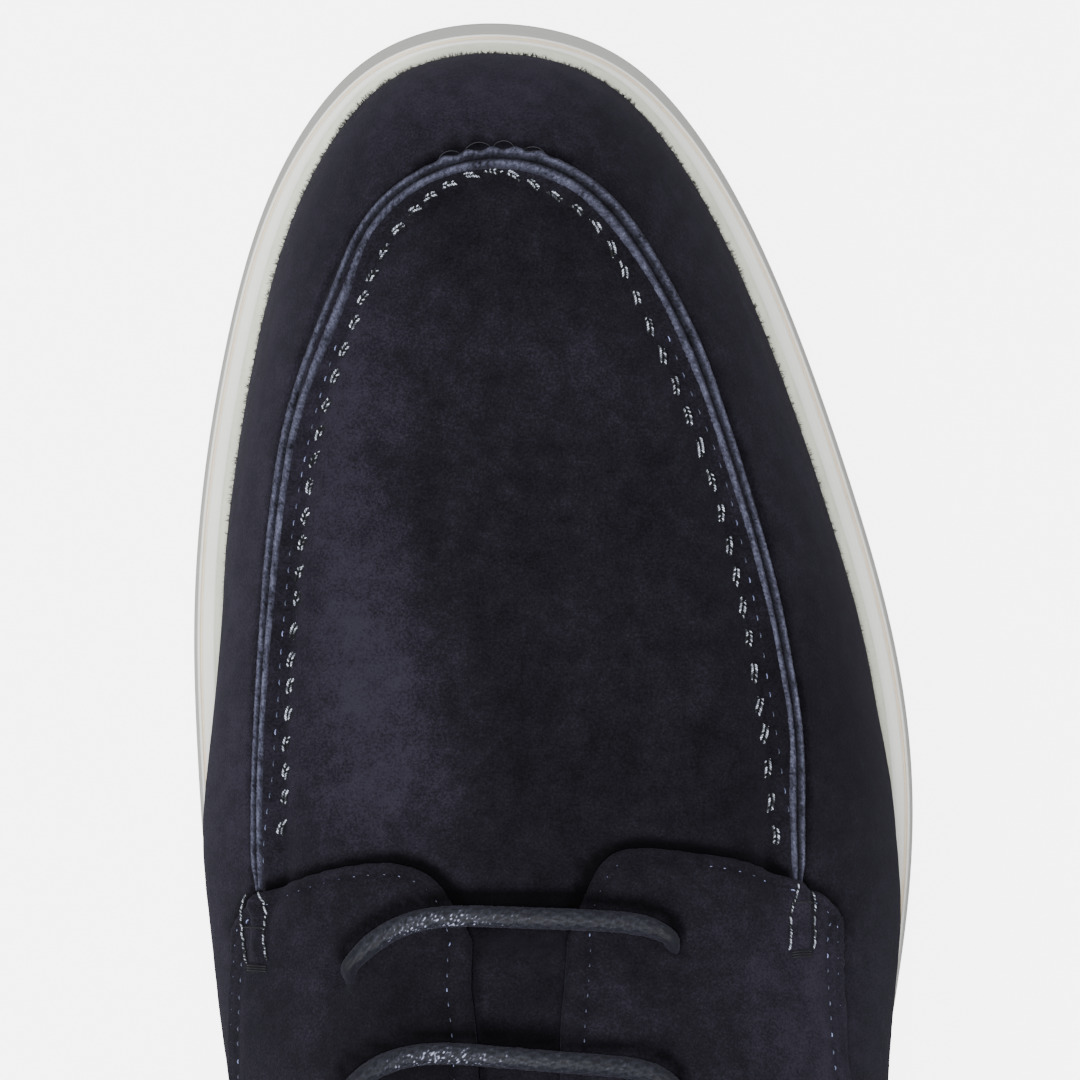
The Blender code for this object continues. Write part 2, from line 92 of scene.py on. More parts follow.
# Widest line of the sole, seen from above
OUTLINE = table(
    "station medial lateral",
    (0.0, 9.8, 9.8),
    (3.6, 25.4, -7.1),
    (12.8, 35.7, -18.3),
    (28.5, 44.1, -28.4),
    (49.5, 49.8, -37.5),
    (70.5, 53.1, -44.7),
    (91.5, 54.3, -50.5),
    (112.5, 53.6, -53.4),
    (130.0, 52.1, -53.0),
    (150.0, 48.3, -50.2),
    (175.0, 42.6, -46.0),
    (205.0, 38.2, -41.6),
    (240.0, 36.6, -39.0),
    (265.0, 35.0, -37.3),
    (284.0, 29.1, -31.3),
    (296.0, 17.9, -20.1),
    (LENGTH, -1.1, -1.1),
)

SOLE_HEIGHTS = table(
    "station tread rim",
    (0.0, 8.4, 20.4),
    (15.0, 5.0, 17.6),
    (32.0, 1.9, 15.4),
    (58.0, 0.0, 14.0),
    (100.0, 0.0, 14.4),
    (124.0, 0.0, 15.8),
    (150.0, 3.4, 18.3),
    (172.0, 4.6, 20.6),
    (192.0, 2.4, 22.8),
    (205.0, 0.0, 24.0),
    (240.0, 0.0, 26.2),
    (284.0, 0.0, 27.6),
    (LENGTH, 2.2, 28.2),
)

LAST = table(
    "station crest_across crest_height rise crown_medial crown_lateral swell_medial swell_lateral",
    (0.0, 9.8, 39.5, 0.60, 0.60, 0.60, -0.2, -0.2),
    (30.0, 9.3, 44.5, 0.62, 0.66, 0.64, -0.35, -0.25),
    (60.0, 8.4, 49.5, 0.66, 0.74, 0.68, -0.1, 0.1),
    (97.0, 7.0, 57.5, 0.68, 0.76, 0.70, 1.3, 0.5),
    (118.0, 6.2, 64.2, 0.62, 0.72, 0.68, 3.7, 2.4),
    (134.0, 5.7, 71.0, 0.58, 0.68, 0.66, 4.3, 3.6),
    (150.0, 5.4, 79.0, 0.55, 0.64, 0.64, 5.2, 4.5),
    (175.0, 4.4, 92.0, 0.52, 0.56, 0.58, 6.0, 5.8),
    (205.0, 3.0, 107.5, 0.50, 0.48, 0.50, 3.2, 3.2),
    (230.0, 1.4, 118.5, 0.50, 0.64, 0.64, 2.8, 2.8),
    (255.0, 0.0, 126.0, 0.50, 0.82, 0.82, 2.8, 2.8),
    (LENGTH, -1.1, 130.0, 0.50, 0.80, 0.80, 1.6, 1.6),
)
TOE_CREST = 30.0            # station where the toe's sections meet
TOE_FAN = 0.36              # share of the turn over which they fan round
HEEL_CREST = 266.0
HEEL_FAN = 0.30
SWELL_PEAK = 0.3            # u where a side swells most

TOPLINE = table(
    "station height",
    (FACING_TOP, 106.5),
    (212.0, 99.0),
    (222.0, 90.5),
    (236.0, 82.0),
    (250.0, 77.2),
    (266.0, 75.8),
    (282.0, 78.5),
    (294.0, 83.5),
    (LENGTH, 87.0),
)

HALF_THROAT = table(
    "station reach",
    (0.0, 7.2),
    (134.0, 7.2),
    (150.0, 5.8),
    (175.0, 5.6),
    (FACING_TOP, 6.2),
)

# Outer edge of the raised seam and the line of its hand stitches, seen from above
APRON = table(
    "station medial lateral",
    (19.3, 8.6, 8.6),
    (24.6, 22.1, -4.2),
    (31.7, 29.1, -10.7),
    (39.5, 33.2, -15.9),
    (50.1, 37.1, -21.4),
    (61.4, 39.9, -25.7),
    (75.5, 41.9, -30.1),
    (96.5, 43.6, -34.3),
    (112.0, 44.3, -36.1),
    (128.4, 43.5, -35.3),
)
STITCH_LINE = table(
    "station medial lateral",
    (23.2, 9.0, 9.0),
    (25.6, 16.6, 2.2),
    (29.5, 21.7, -4.1),
    (36.0, 26.1, -9.1),
    (45.3, 29.8, -13.6),
    (56.0, 33.3, -18.2),
    (68.5, 36.1, -22.9),
    (83.0, 37.9, -26.6),
    (96.0, 38.9, -28.9),
    (110.0, 39.7, -30.9),
    (125.0, 40.5, -32.5),
)

# Front edge of each facing, from the throat round to the outer edge
LOBE = table(
    "medial_across medial_station lateral_across lateral_station",
    (12.2, 134.4, -1.6, 134.2),
    (15.1, 129.2, -4.2, 127.9),
    (18.3, 125.6, -7.4, 122.9),
    (23.5, 123.9, -13.3, 121.7),
    (30.0, 124.5, -21.5, 122.8),
    (36.3, 126.2, -29.0, 124.4),
    (41.6, 128.1, -35.2, 127.1),
    (45.4, 130.6, -39.6, 129.5),
    (47.6, 134.0, -41.8, 132.4),
)
LOBE_END = 142.0            # station where the facing's straight rows begin
LOBE_SPAN = len(LOBE["medial_across"]) - 1
HEEL_SEAM = 0.0012          # share of the turn that a facing stops short of the heel
FACING_PITCH = 0.85         # default grid of a facing, which its stitches follow too
FACING_ROWS = 150
FACING_WIDTH = 45.0         # from throat to hem, about

FACING_HEM = table(
    "station medial lateral",
    (LOBE_END, 50.0, 55.2),
    (155.0, 50.3, 57.3),
    (175.0, 50.5, 57.0),
    (220.0, 51.5, 54.0),
    (LENGTH, 53.0, 53.0),
)

TONGUE_HALF_WIDTH = table(
    "station reach",
    (122.0, 19.0),
    (150.0, 23.0),
    (190.0, 26.0),
    (206.0, 26.5),
    (213.0, 24.0),
    (217.0, 17.0),
)

# How the dressed upper stands off the last near the raised seam: distance inwards from the
# seam's outer edge, and height. The stitches lie in the valley.
SEAM_RELIEF = table(
    "distance height",
    (-9.0, 0.0),
    (-4.0, 0.10),
    (-1.4, 0.22),
    (-0.4, -0.15),
    (0.4, 0.0),
    (1.8, 0.45),
    (2.8, 1.05),
    (3.4, 0.80),
    (4.6, -0.25),
    (5.7, -0.60),
    (6.8, -0.30),
    (9.0, 0.40),
    (13.0, 0.75),
    (19.0, 0.40),
    (27.0, 0.0),
)

# Half section of the raised seam: its two raw lips with the groove between. The shade column
# paints the lips' crests light and paints shade into the groove and down the flanks.
RIDGE_PROFILE = table(
    "across height shade",
    (0.15, -0.5, 0.10),
    (-0.10, 0.3, 0.12),
    (-0.15, 0.9, 0.20),
    (-0.05, 1.40, 0.26),
    (0.08, 1.75, 0.48),
    (0.25, 2.00, 1.00),
    (0.42, 2.08, 1.25),
    (0.60, 2.00, 0.90),
    (0.78, 1.72, 0.38),
    (0.94, 1.30, 0.20),
    (1.10, 1.05, 0.12),
    (1.25, 1.30, 0.24),
    (1.42, 1.75, 0.72),
    (1.65, 2.02, 1.15),
    (1.90, 2.12, 1.30),
    (2.15, 2.02, 1.05),
    (2.35, 1.75, 0.85),
    (2.48, 1.30, 0.50),
    (2.56, 0.8, 0.20),
    (2.60, 0.2, 0.08),
    (2.50, -0.5, 0.08),
)

RIDGE_GROOVE = 1.1          # across, where the inner lip begins
RIDGE_PIVOT = 1.2           # across, what the profile spreads from
RIDGE_DRAWN = 2.2           # height of the seam that the profile is drawn for
RIDGE_STEP = 0.30

# How the lips wander beside the seam: distance along it from the toe, shift and spread
RIDGE_WANDER = table(
    "along shift spread",
    (-140.0, -0.4, 0.85),
    (-126.0, -0.4, 0.95),
    (-108.0, 0.3, 0.90),
    (-89.0, 0.35, 1.04),
    (-70.0, 0.4, 1.22),
    (-51.0, 0.7, 1.28),
    (-33.0, 1.25, 1.20),
    (-16.0, -0.1, 1.05),
    (0.0, 1.1, 1.10),
    (16.0, -0.2, 1.40),
    (33.0, -0.1, 1.38),
    (50.0, 0.4, 1.25),
    (69.0, 0.7, 1.08),
    (89.0, 0.15, 1.05),
    (104.0, 0.1, 0.98),
    (118.0, 0.35, 1.0),
    (128.0, -0.55, 0.80),
    (145.0, -0.6, 0.80),
)

# Loose loops of thread ahead of the seam's gathers: start and end, along it from the toe
THREAD_LOOPS = ((-8.4, -4.8), (-4.2, -0.1), (0.1, 3.5), (4.7, 8.5))

# Side of the sole, from the tread round to the floor of the seat: distance in from the
# widest line, share of the wall's lean, share of the height from tread to rim, drop, and
# finish (0 white, 1 groove, 2 gutter)
SOLE_SIDE = table(
    "inset lean share drop finish",
    (3.4, 0.0, 0.0, 0.0, 0),
    (2.2, 0.0, 0.0, -0.12, 0),
    (1.2, 0.0, 0.0, -0.5, 0),
    (0.55, 0.0, 0.0, -1.2, 0),
    (0.2, 0.0, 0.0, -2.2, 0),
    (0.04, 0.0, 0.17, -1.4, 0),
    (0.0, 0.0, 0.35, 0.0, 0),
    (0.0, 0.18, 0.46, 0.0, 0),
    (0.0, 0.42, 0.58, 0.0, 0),
    (0.0, 0.66, 0.72, 0.0, 0),
    (0.0, 0.86, 0.86, 0.0, 0),
    (0.0, 1.0, 1.0, 1.1, 0),
    (0.03, 1.0, 1.0, 0.5, 0),
    (0.12, 1.0, 1.0, 0.18, 0),
    (0.26, 1.0, 1.0, 0.08, 0),
    (0.40, 1.0, 1.0, 0.12, 0),
    (0.47, 1.0, 1.0, 0.24, 1),
    (0.56, 1.0, 1.0, 0.32, 1),
    (0.66, 1.0, 1.0, 0.32, 1),
    (0.74, 1.0, 1.0, 0.22, 1),
    (0.84, 1.0, 1.0, 0.06, 0),
    (1.02, 0.95, 1.0, 0.01, 0),
    (1.30, 0.85, 1.0, 0.0, 0),
    (2.10, 0.45, 1.0, 0.02, 0),
    (2.65, 0.15, 1.0, 0.02, 0),
    (2.80, 0.08, 1.0, -0.08, 0),
    (2.95, 0.03, 1.0, -0.08, 0),
    (3.10, 0.0, 1.0, 0.04, 0),
    (3.30, 0.0, 1.0, 0.10, 2),
    (3.55, 0.0, 1.0, 0.16, 2),
    (3.85, 0.0, 1.0, 0.24, 2),
    (4.25, 0.0, 1.0, 0.40, 2),
    (4.80, 0.0, 1.0, 0.9, 2),
    (5.30, 0.0, 1.0, SEAT_DEPTH, 2),
)
SIDE_FLARE = 0.8            # lean of the sole's wall
TOE_FLARE = 2.0
TOE_FLARE_END = 45.0        # station
TREAD_PITCH = 7.0           # of the cross grooves underneath
TREAD_GROOVE = 0.7          # their depth
FOOTBED_THICK = 2.95

# Lace bars: station of the middle, of the medial and of the lateral eyelet, and skew
LACES = table(
    "peak medial lateral skew",
    (131.1, 140.0, 135.4, 0.95),
    (150.4, 156.6, 156.4, 2.0),
    (170.3, 177.6, 176.8, 1.0),
    (190.2, 197.4, 196.8, 1.0),
)
LACE_LIFT = 1.4             # of a bar's middle line over the facing
LACE_DIVE = 3.2             # how deep its ends go down into the eyelets
LACE_SIDES = 36
BRAID_STRANDS = 9
BRAID_PITCH = 2.9
# Painted highlights of the lace: pale glints on the side of each bar that faces the key light
LACE_GLINT_PLACE = 0.66            # share along a bar where most of its painted glints lie
LACE_GLINT_REACH = 0.14
LACE_GLINT_BASE = 0.14             # share of the painted glints that lie everywhere else

# Bar tacks behind the raised seam's ends, in distances behind its end and outwards from its
# middle: two wavering rails of twisted thread, one bar between them and three behind
TACK_LENGTH = 12.0          # how far the seam shows through the facing behind its end
TAIL_HEIGHT = 0.75          # how high it lifts the facing there
TAIL_WIDTH = 1.2
TACKS = {
    1: {"across": 43.4, "start": 128.4, "bar": (5.2, -1.2, 2.2), "end": 10.7, "rails": (
        ((0.3, 1.6), (1.6, 2.0), (3.3, 2.3), (5.4, 2.2), (8.1, 1.9), (11.4, 1.3)),
        ((0.0, -0.8), (2.1, -1.2), (4.5, -1.1), (6.6, -1.0), (8.8, -1.4), (10.6, -1.6)))},
    -1: {"across": -35.4, "start": 127.0, "bar": (3.0, -1.5, 1.7), "end": 9.9, "rails": (
        ((1.2, 1.5), (2.2, 1.7), (3.3, 1.8), (5.7, 1.7), (7.4, 1.9), (9.8, 1.6)),
        ((0.0, -0.9), (1.6, -1.2), (3.3, -1.5), (5.7, -1.6), (8.0, -1.7), (9.8, -1.9)))},
}

# Soft troughs where the vamp will bend, seen from above
CREASES = table(
    "from_across from_station to_across to_station depth width",
    (47.0, 108.0, 34.0, 117.0, 0.30, 3.2),
    (46.0, 96.0, 33.0, 104.0, 0.22, 3.6),
    (-44.0, 104.0, -30.0, 115.0, 0.30, 3.4),
    (-41.0, 92.0, -28.0, 100.0, 0.20, 3.8),
    (24.0, 113.0, 6.0, 117.5, 0.22, 3.6),
    (-18.0, 112.0, -2.0, 117.0, 0.20, 3.6),
)

# Places where the suede is lighter (above 0) or darker: partly the nap's brushed tone, partly
# painted light on the medial side and the toe and painted shade on the lateral side; place, reach
# and strength
NAP_AND_LIGHT = table(
    "across station across_reach station_reach strength",
    (34.0, 76.0, 9.0, 50.0, 0.30),
    (26.0, 88.0, 9.0, 26.0, 0.34),
    (24.0, 110.0, 10.0, 12.0, 0.30),
    (-2.0, 92.0, 22.0, 34.0, -0.42),
    (8.0, 34.0, 14.0, 12.0, -0.45),
    (-24.0, 112.0, 12.0, 14.0, -0.24),
    (-42.0, 95.0, 9.0, 50.0, -0.42),
    (48.0, 112.0, 8.0, 16.0, 0.15),
    (10.0, 10.0, 26.0, 9.0, 0.38),
    (22.0, 160.0, 14.0, 30.0, -0.65),
    (-14.0, 134.0, 8.0, 8.0, -0.15),
    (-37.0, 146.0, 10.0, 24.0, 0.55),
)


def spline(places, values):
    """Return a natural cubic spline through the values, for numbers or arrays."""
    count = len(places)
    width = np.diff(places)
    slope = np.diff(values) / width
    system = np.eye(count)
    right = np.zeros(count)
    for i in range(1, count - 1):
        system[i, i - 1:i + 2] = (width[i - 1], 2 * (width[i - 1] + width[i]), width[i])
        right[i] = 6 * (slope[i] - slope[i - 1])
    bend = np.linalg.solve(system, right)

    def value(x):
        x = np.asarray(x, float)
        i = np.clip(np.searchsorted(places, x) - 1, 0, count - 2)
        before = x - places[i]
        after = places[i + 1] - x
        curve = (bend[i] * after ** 3 + bend[i + 1] * before ** 3) / (6 * width[i])
        start = (values[i] / width[i] - bend[i] * width[i] / 6) * after
        end = (values[i + 1] / width[i] - bend[i + 1] * width[i] / 6) * before
        return curve + start + end
    return value


def ease(places, values):
    """Return a curve through the values that never overshoots them."""
    width = np.diff(places)
    slope = np.diff(values) / width
    tangent = np.concatenate(([slope[0]], (slope[1:] + slope[:-1]) / 2, [slope[-1]]))
    limit = 3 * np.minimum(np.abs(slope[:-1]), np.abs(slope[1:]))
    inner = np.sign(slope[1:]) * np.minimum(np.abs(tangent[1:-1]), limit)
    tangent[1:-1] = np.where(slope[:-1] * slope[1:] <= 0, 0.0, inner)

    def value(x):
        x = np.clip(x, places[0], places[-1])
        i = np.clip(np.searchsorted(places, x) - 1, 0, len(width) - 1)
        s = (x - places[i]) / width[i]
        rise = values[i] * (1 + 2 * s) * (1 - s) ** 2 + values[i + 1] * s * s * (3 - 2 * s)
        lean = tangent[i] * s * (1 - s) ** 2 - tangent[i + 1] * s * s * (1 - s)
        return rise + lean * width[i]
    return value


def smooth(x, low, high):
    """Return a soft step from 0 at low to 1 at high."""
    s = np.clip((np.asarray(x, float) - low) / (high - low), 0.0, 1.0)
    return s * s * (3 - 2 * s)


def bell(x, reach):
    """Return a soft swell: 1 where x is 0, fading over the reach."""
    return np.exp(-(x / reach) ** 2)


def unit(vectors):
    """Return the vectors at length 1."""
    return vectors / np.maximum(np.linalg.norm(vectors, axis=-1, keepdims=True), 1e-12)


def eased(rows, name):
    """Return one column of a table as a curve over its stations."""
    return ease(rows["station"], rows[name])


def share_of(station, length=LENGTH):
    """Return the place round one side, 0 at the toe tip and 1 at the heel tip."""
    return np.arccos(np.clip(1 - 2 * np.asarray(station, float) / length, -1, 1)) / math.pi


def station_of(share):
    """Return the station of a place round one side."""
    return LENGTH * (1 - np.cos(math.pi * np.asarray(share, float))) / 2


OUTLINE_SHARES = share_of(OUTLINE["station"])
ACROSS_MEDIAL = spline(OUTLINE_SHARES, OUTLINE["medial"])
ACROSS_LATERAL = spline(OUTLINE_SHARES, OUTLINE["lateral"])
TREAD = eased(SOLE_HEIGHTS, "tread")
RIM = eased(SOLE_HEIGHTS, "rim")
CREST_ACROSS = eased(LAST, "crest_across")
CREST_HEIGHT = spline(LAST["station"], LAST["crest_height"])
RISE = eased(LAST, "rise")
TOP_HEIGHT = eased(TOPLINE, "height")
THROAT_REACH = eased(HALF_THROAT, "reach")
TONGUE_REACH = eased(TONGUE_HALF_WIDTH, "reach")
MIDDLE = (max(OUTLINE["medial"]) + min(OUTLINE["lateral"])) / 2


def two_sided(rows, stem):
    """Return a curve over turn and station that takes the medial or the lateral column."""
    medial = eased(rows, stem + "medial")
    lateral = eased(rows, stem + "lateral")
    return lambda turn, station: np.where(turn >= 0, medial(station), lateral(station))


CROWN = two_sided(LAST, "crown_")
SWELL = two_sided(LAST, "swell_")
HEM_HEIGHT = two_sided(FACING_HEM, "")


def wrapped(turn):
    """Return a turn between -1 and 1."""
    return (np.asarray(turn, float) + 1) % 2 - 1


def outline(turn):
    """Return the sole's widest line at a turn, seen from above."""
    turn = wrapped(turn)
    share = np.abs(turn)
    across = np.where(turn >= 0, ACROSS_MEDIAL(share), ACROSS_LATERAL(share))
    return np.stack((across, station_of(share)), -1)


def outward(turn):
    """Return the direction out of the sole at a turn, seen from above."""
    step = outline(np.asarray(turn) + STEP) - outline(np.asarray(turn) - STEP)
    return unit(np.stack((step[..., 1], -step[..., 0]), -1))


def crest_station(share):
    """Return where a section reaches the crest line; toe and heel sections fan round."""
    station = station_of(share)
    s = np.clip(share / TOE_FAN, 0, 1) ** 2
    swept = TOE_CREST + (station_of(TOE_FAN) - TOE_CREST) * s
    toe = swept + (station - swept) * s
    s = np.clip((1 - share) / HEEL_FAN, 0, 1) ** 2
    swept = HEEL_CREST + (station_of(1 - HEEL_FAN) - HEEL_CREST) * s
    heel = swept + (station - swept) * s
    return np.where(share < TOE_FAN, toe, np.where(share > 1 - HEEL_FAN, heel, station))


def with_height(plan, height):
    """Return plan directions or places with a height."""
    return np.concatenate((plan, np.broadcast_to(height, plan.shape[:-1])[..., None]), -1)


def skin(turn, u):
    """Return points of the last's outer face, u from 0 at its foot to 1 at the crest."""
    turn, u = np.broadcast_arrays(wrapped(turn), np.asarray(u, float))
    share = np.abs(turn)
    station = station_of(share)
    out = outward(turn)
    foot_plan = outline(turn) - FEATHER_INSET * out
    foot = with_height(foot_plan, RIM(station) - SEAT_DEPTH + GAP)
    top_station = crest_station(share)
    top = np.stack((CREST_ACROSS(top_station), top_station, CREST_HEIGHT(top_station)), -1)
    swell = SWELL(turn, station)
    lower = foot + with_height(1.3 * swell[..., None] * out,
                               RISE(station) * (top[..., 2] - foot[..., 2]))
    reach = CROWN(turn, station)[..., None] * (foot_plan - top[..., :2])
    slope = (CREST_HEIGHT(top_station + 1) - CREST_HEIGHT(top_station - 1)) / 2
    upper = top + with_height(reach, slope * reach[..., 1])
    v = (1 - u)[..., None]
    u = u[..., None]
    point = v ** 3 * foot + 3 * v * v * u * lower + 3 * v * u * u * upper + u ** 3 * top
    fall = 2 * (1 - SWELL_PEAK) / SWELL_PEAK
    shape = (u / SWELL_PEAK) ** 2 * (v / (1 - SWELL_PEAK)) ** fall
    return point + with_height(swell[..., None] * shape * out, 0.0)


def skin_steps(turn, u):
    """Return the last's slopes by turn and by u."""
    u = np.clip(u, STEP, 1 - 2 * STEP)
    by_turn = (skin(turn + STEP, u) - skin(turn - STEP, u)) / (2 * STEP)
    by_u = (skin(turn, u + STEP) - skin(turn, u - STEP)) / (2 * STEP)
    return by_turn, by_u


def skin_normal(turn, u):
    """Return the outward direction of the last's outer face."""
    by_turn, by_u = skin_steps(turn, u)
    return unit(np.cross(by_turn, by_u))


def settle(target, turn, u, rounds=14, height=0.0):
    """Return the turn and u whose point, at a height off the last, is nearest to each target.
    A target of two numbers is a place seen from above."""
    target = np.asarray(target, float)
    kept = target.shape[-1]
    turn = np.broadcast_to(np.asarray(turn, float), target.shape[:-1]).copy()
    u = np.broadcast_to(np.asarray(u, float), target.shape[:-1]).copy()
    for _ in range(rounds):
        by_turn, by_u = (step[..., :kept] for step in skin_steps(turn, u))
        here = skin(turn, u) + height * skin_normal(turn, u)
        left = target - here[..., :kept]
        a = (by_turn * by_turn).sum(-1)
        b = (by_turn * by_u).sum(-1)
        c = (by_u * by_u).sum(-1)
        p = (by_turn * left).sum(-1)
        q = (by_u * left).sum(-1)
        scale = np.maximum(a * c - b * b, 1e-9)
        turn += np.clip((c * p - b * q) / scale, -0.05, 0.05)
        u = np.clip(u + np.clip((a * q - b * p) / scale, -0.1, 0.1), 0.003, 0.999)
    return turn, u


def bisect(test, low, high, like):
    """Return the u between low and high where the test turns from true to false."""
    low = np.full(np.shape(like), float(low))
    high = np.full(np.shape(like), float(high))
    for _ in range(26):
        middle = (low + high) / 2
        passed = test(middle)
        low = np.where(passed, middle, low)
        high = np.where(passed, high, middle)
    return (low + high) / 2


def u_at_height(turn, height):
    """Return the u where a section reaches a height."""
    return bisect(lambda u: skin(turn, u)[..., 2] < height, 0.0, 1.0, turn)


def u_at_reach(turn, reach):
    """Return the u where a section comes within a distance of the crest line."""
    top = skin(turn, 1.0)[..., :2]
    return bisect(lambda u: np.linalg.norm(skin(turn, u)[..., :2] - top, axis=-1) > reach,
                  0.3, 1.0, turn)


def plan_curve(rows, count):
    """Return turns and u along a curve given from above, from its medial to its lateral end."""
    first = rows["station"][0]
    span = 2 * (rows["station"][-1] - first)
    shares = share_of(rows["station"] - first, span)
    steps = np.linspace(0.5, 0, count)
    station = first + span * (1 - np.cos(math.pi * steps)) / 2
    medial = np.stack((spline(shares, rows["medial"])(steps), station), -1)
    lateral = np.stack((spline(shares, rows["lateral"])(steps), station), -1)
    plan = np.concatenate((medial, lateral[-2::-1]))
    guess = share_of(plan[:, 1]) * np.where(np.arange(len(plan)) < count, 1, -1) * 0.95
    return settle(plan, guess, 0.66, 40)


def tree_of(points):
    """Return a search tree of points."""
    tree = kdtree.KDTree(len(points))
    for i, point in enumerate(points):
        tree.insert(point, i)
    tree.balance()
    return tree


def nearest(tree, points):
    """Return each point's distance from a tree's points, and the number of the nearest."""
    found = [tree.find(point)[1:] for point in points.reshape(-1, 3)]
    number, distance = np.array(found).T
    return distance.reshape(points.shape[:-1]), number.astype(int).reshape(points.shape[:-1])


def lengths(points):
    """Return the distance travelled along a line of points."""
    steps = np.linalg.norm(np.diff(points, axis=0), axis=1)
    return np.concatenate(([0.0], np.cumsum(steps)))


SEAM_TURN, SEAM_U = plan_curve(APRON, 420)
SEAM_POINTS = skin(SEAM_TURN, SEAM_U)
SEAM_TREE = tree_of(SEAM_POINTS)
SEAM_ALONG = lengths(SEAM_POINTS)
SEAM_APEX = np.interp(0.0, -SEAM_TURN, SEAM_ALONG)
SEAM_HEIGHT = ease(SEAM_RELIEF["distance"], SEAM_RELIEF["height"])
SEAM_FADE = (127.0, 138.0)  # stations over which the relief beside the seam dies away
PUCKER_PITCH = 3.6          # of the gathers round the seam's apex
PUCKER_REACH = 12.0
PUCKER_HEIGHT = 0.45


def seam_u(turn):
    """Return the u of the raised seam's outer edge, or of the line that carries it on."""
    return np.interp(wrapped(turn), SEAM_TURN[::-1], SEAM_U[::-1])


def seam_place(points, turn, u):
    """Return the distance inwards from the raised seam's outer edge, and along it from the
    apex."""
    distance, number = nearest(SEAM_TREE, points)
    return np.where(u > seam_u(turn), distance, -distance), SEAM_ALONG[number] - SEAM_APEX


def ripple(points, size, seed):
    """Return a soft random swell between about -1 and 1, with bumps of about the size."""
    random = np.random.default_rng(seed)
    total = 0.0
    for _ in range(9):
        direction = unit(random.normal(size=3)) * random.uniform(0.6, 1.5)
        total = total + np.sin(points @ direction * (math.pi / size)
                               + random.uniform(0, 2 * math.pi))
    return total / 3.5


def segment_distance(plan, start, end):
    """Return the distance seen from above from a straight stretch, and the share along it."""
    span = end - start
    share = np.clip(((plan - start) @ span) / (span @ span), 0, 1)
    return np.linalg.norm(plan - start - share[..., None] * span, axis=-1), share


def pucker(along):
    """Return the gathers of the vamp round the seam's apex, from 0 to 1."""
    fade = 1 - smooth(np.abs(along), PUCKER_REACH * 0.6, PUCKER_REACH)
    return fade * (0.5 + 0.5 * np.cos(2 * math.pi * along / PUCKER_PITCH))


def relief(turn, u):
    """Return how far the dressed upper stands off the last's skin."""
    points = skin(turn, u)
    inwards, along = seam_place(points, turn, u)
    crest = np.linalg.norm(points[..., :2] - skin(turn, 1.0)[..., :2], axis=-1)
    legs = 1 - smooth(points[..., 1], *SEAM_FADE)
    height = SEAM_HEIGHT(inwards) * legs * smooth(crest, 0.0, 9.0)
    height = height + PUCKER_HEIGHT * pucker(along) * bell(inwards + 1.1, 1.0)
    for row in zip(*CREASES.values()):
        distance, share = segment_distance(points[..., :2], np.array(row[:2]), np.array(row[2:4]))
        trough = bell(distance, row[5]) - 0.45 * np.exp(-(distance / row[5] / 2) ** 2)
        height = height - row[4] * trough * np.sin(math.pi * np.clip(share, 0.05, 0.95))
    steady = smooth(points[..., 2] - RIM(points[..., 1]), 0.0, 8.0)
    return height + steady * (0.12 * ripple(points, 14.0, 3) + 0.035 * ripple(points, 3.5, 4))


def surface(turn, u, lift):
    """Return points at a distance from the dressed upper's outer face."""
    height = relief(turn, u) + lift
    return skin(turn, u) + np.asarray(height)[..., None] * skin_normal(turn, u)


def world(points):
    """Return points in metres, in the shoe's own frame."""
    return (points - np.array((MIDDLE, LENGTH / 2, 0.0))) * MM


class Form:
    """A mesh being put together, in millimetres, with a shade and a nap for every corner."""

    def __init__(self):
        self.points, self.faces, self.finishes = [], [], []
        self.shades, self.naps = [], []
        self.count = 0

    def add(self, points, shade=1.0, nap=0.0):
        """Add corners and return their numbers, in the points' own rows and columns."""
        shape = points.shape[:-1]
        number = np.arange(self.count, self.count + int(np.prod(shape))).reshape(shape)
        self.count += number.size
        self.points.append(points.reshape(-1, 3))
        self.shades.append(np.broadcast_to(shade, shape).reshape(-1))
        self.naps.append(np.broadcast_to(nap, shape).reshape(-1))
        return number

    def face(self, corners):
        """Add one face in the first finish."""
        self.faces.append(tuple(int(corner) for corner in corners))
        self.finishes.append(0)

    def skin_over(self, number, around=False, along=False, flip=False, finish=0):
        """Add the faces of a grid of corners, closed round its columns or along its rows."""
        if around:
            number = np.concatenate((number, number[..., :1]), -1)
        if along:
            number = np.concatenate((number, number[:1]), 0)
        quads = np.stack((number[:-1, :-1], number[1:, :-1], number[1:, 1:], number[:-1, 1:]), -1)
        quads = quads.reshape(-1, 4)
        if flip:
            quads = quads[:, ::-1]
        finish = np.broadcast_to(finish, (number.shape[0] - 1, number.shape[1] - 1))
        self.faces += [tuple(quad) for quad in quads.tolist()]
        self.finishes += finish.reshape(-1).tolist()

    def rod(self, number, flip=False):
        """Add the faces of one closed bar from its rings of corners."""
        self.skin_over(number, around=True, flip=flip)
        self.face(number[0][::-1] if flip else number[0])
        self.face(number[-1] if flip else number[-1][::-1])

    def slab(self, top, under, flip, finish=0):
        """Add the faces of a sheet from the corners of its top and its underside."""
        self.skin_over(top, flip=not flip)
        self.skin_over(under, flip=flip, finish=finish)
        rims = [np.concatenate((side[0], side[1:, -1], side[-1, -2::-1], side[-2:0:-1, 0]))
                for side in (top, under)]
        self.skin_over(np.stack(rims), around=True, flip=flip)

    def make(self, name, finishes, nodes, slot):
        """Return the finished piece, riding on the shoe in place of its nodes."""
        points = world(np.concatenate(self.points))
        mesh = bpy.data.meshes.new(name)
        mesh.from_pydata(points.tolist(), [], self.faces)
        for label, values in (("shade", self.shades), ("nap", self.naps)):
            layer = mesh.attributes.new(label, "FLOAT", "POINT")
            layer.data.foreach_set("value", np.concatenate(values).astype(np.float32))
        for finish in finishes:
            mesh.materials.append(finish)
        mesh.polygons.foreach_set("material_index", self.finishes)
        mesh.shade_smooth()
        mesh.update()
        piece = bpy.data.objects.new(name, mesh)
        bpy.context.scene.collection.objects.link(piece)
        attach(piece, "root")
        if nodes:
            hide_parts(*nodes)
        return piece


